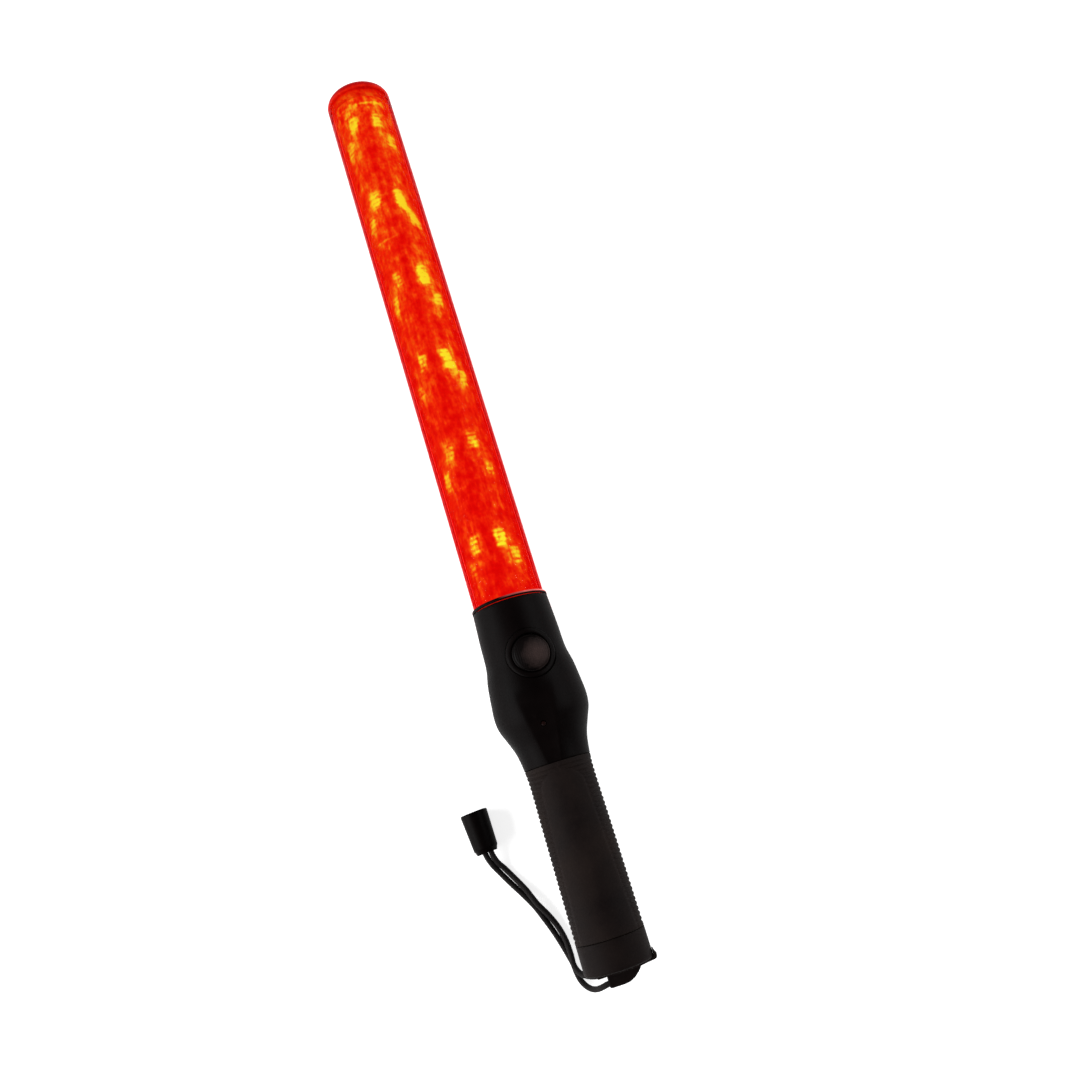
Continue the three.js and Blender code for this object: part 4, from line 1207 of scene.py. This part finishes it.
def make_lug():
    """The lug as a block with soft sides: its sections along X are rounded, and its right end narrows."""
    back_y = END_FACE_Y - GAP
    left_edge = [(LUG_LEFT, 0.5), (LUG_LEFT + 0.15, 0.2), (LUG_LEFT + 0.5, 0)]
    rows = np.array(left_edge + [(x, 0) for x in np.linspace(LUG_LEFT + 1, LUG_RIGHT, 34)])
    x, inset = rows[:, :1], rows[:, 1:]
    reach = back_y - np.interp(x, LUG_FOOT_X, LUG_FOOT_Y)
    high = LUG_HALF_HEIGHT * np.minimum(1, (reach / LUG_TAPER) ** 0.5)
    angle = np.linspace(0, 2 * math.pi, 48, endpoint=False)
    across, up = (np.sign(v) * np.abs(v) ** LUG_SOFTNESS for v in (np.cos(angle), np.sin(angle)))
    y = back_y - reach / 2 + (reach / 2 - inset) * across
    z = (high - inset) * up - LUG_DROP
    lug = grid_piece("cord_lug", np.stack([x + 0 * y, y, z], -1), cap_rows=True)
    stem_end = back_y - 1
    stem_size = (STEM_WIDE, LUG_STEM_END - stem_end, STEM_HIGH)
    stem = box_tool((STEM_X, (stem_end + LUG_STEM_END) / 2, -LUG_DROP), stem_size)
    combine(lug, [stem], "UNION")
    for start in (STRAND_A_START, STRAND_B_START):
        bore = rod("X", (0, start[0][1] / MM, -LUG_DROP), LUG_BORE, LUG_LEFT - 1, 0, 40)
        combine(lug, [bore], "DIFFERENCE")
    return finish_piece(lug, "root", MATT, "lanyard_lug")


def make_cords():
    fittings = [*make_barrel(), make_lug()]
    for letter, start, side in (("a", STRAND_A_START, 1), ("b", STRAND_B_START, -1)):
        points = [*start, *pair_points(side), *barrel_points(side)]
        piece, line = braided_tube(f"cord_strand_{letter}", points)
        finish_piece(piece, "root", CORD, f"lanyard_strand_{letter}")


make_cords()


# ---- Camera ----
LENS, SENSOR = 34.7, 36  # in millimetres
CAMERA_PLACE = (0.0268, -0.187, 0.590)
CAMERA_TILT, CAMERA_ROLL = 14.4, -17.5  # towards the tip, and about the view's line, in degrees


def make_camera():
    data = bpy.data.cameras.new("camera")
    data.sensor_width = SENSOR
    data.lens = LENS
    data.clip_end = 20
    camera = add_object("camera", data)
    tilt = Matrix.Rotation(math.radians(CAMERA_TILT), 4, "X")
    roll = Matrix.Rotation(math.radians(CAMERA_ROLL), 4, "Z")
    camera.matrix_world = Matrix.Translation(CAMERA_PLACE) @ tilt @ roll
    bpy.context.scene.camera = camera


make_camera()


# ---- Floor and light ----
SOFTBOXES = [  # name, place, width and height in metres, and watts
    ("left_softbox", (-1.15, -0.15, 0.62), 1.3, 0.8, 26),
    ("right_softbox", (1.15, 0.15, 0.75), 1.1, 0.7, 14),
]
LIT_PLACE = (0, -0.05, 0)
FLOOR_SIZE = 6


def make_stage():
    bpy.ops.mesh.primitive_plane_add(size=FLOOR_SIZE, location=(0, 0, 0))
    floor = bpy.context.object
    floor.name = "floor"
    g = Graph("pale_floor")
    g.set(Base_Color=(0.86, 0.86, 0.86, 1.0), Roughness=0.8, Specular_IOR_Level=0.1)
    g.set(Emission_Color=(1, 1, 1, 1), Emission_Strength=0.8)  # so that it shows white
    floor.data.materials.append(g.material)
    world = bpy.data.worlds.new("studio")
    world.use_nodes = True
    sky = world.node_tree.nodes["Background"].inputs
    sky["Color"].default_value = (1, 1, 1, 1)
    sky["Strength"].default_value = 0.16
    bpy.context.scene.world = world
    for name, place, wide, high, watts in SOFTBOXES:
        data = bpy.data.lights.new(name, "AREA")
        data.shape = "RECTANGLE"
        data.size = wide
        data.size_y = high
        data.energy = watts
        lamp = add_object(name, data)
        lamp.location = place
        aim = Vector(LIT_PLACE) - Vector(place)
        lamp.rotation_euler = aim.to_track_quat("-Z", "Y").to_euler()
    bpy.context.scene.view_settings.view_transform = "Standard"


make_stage()
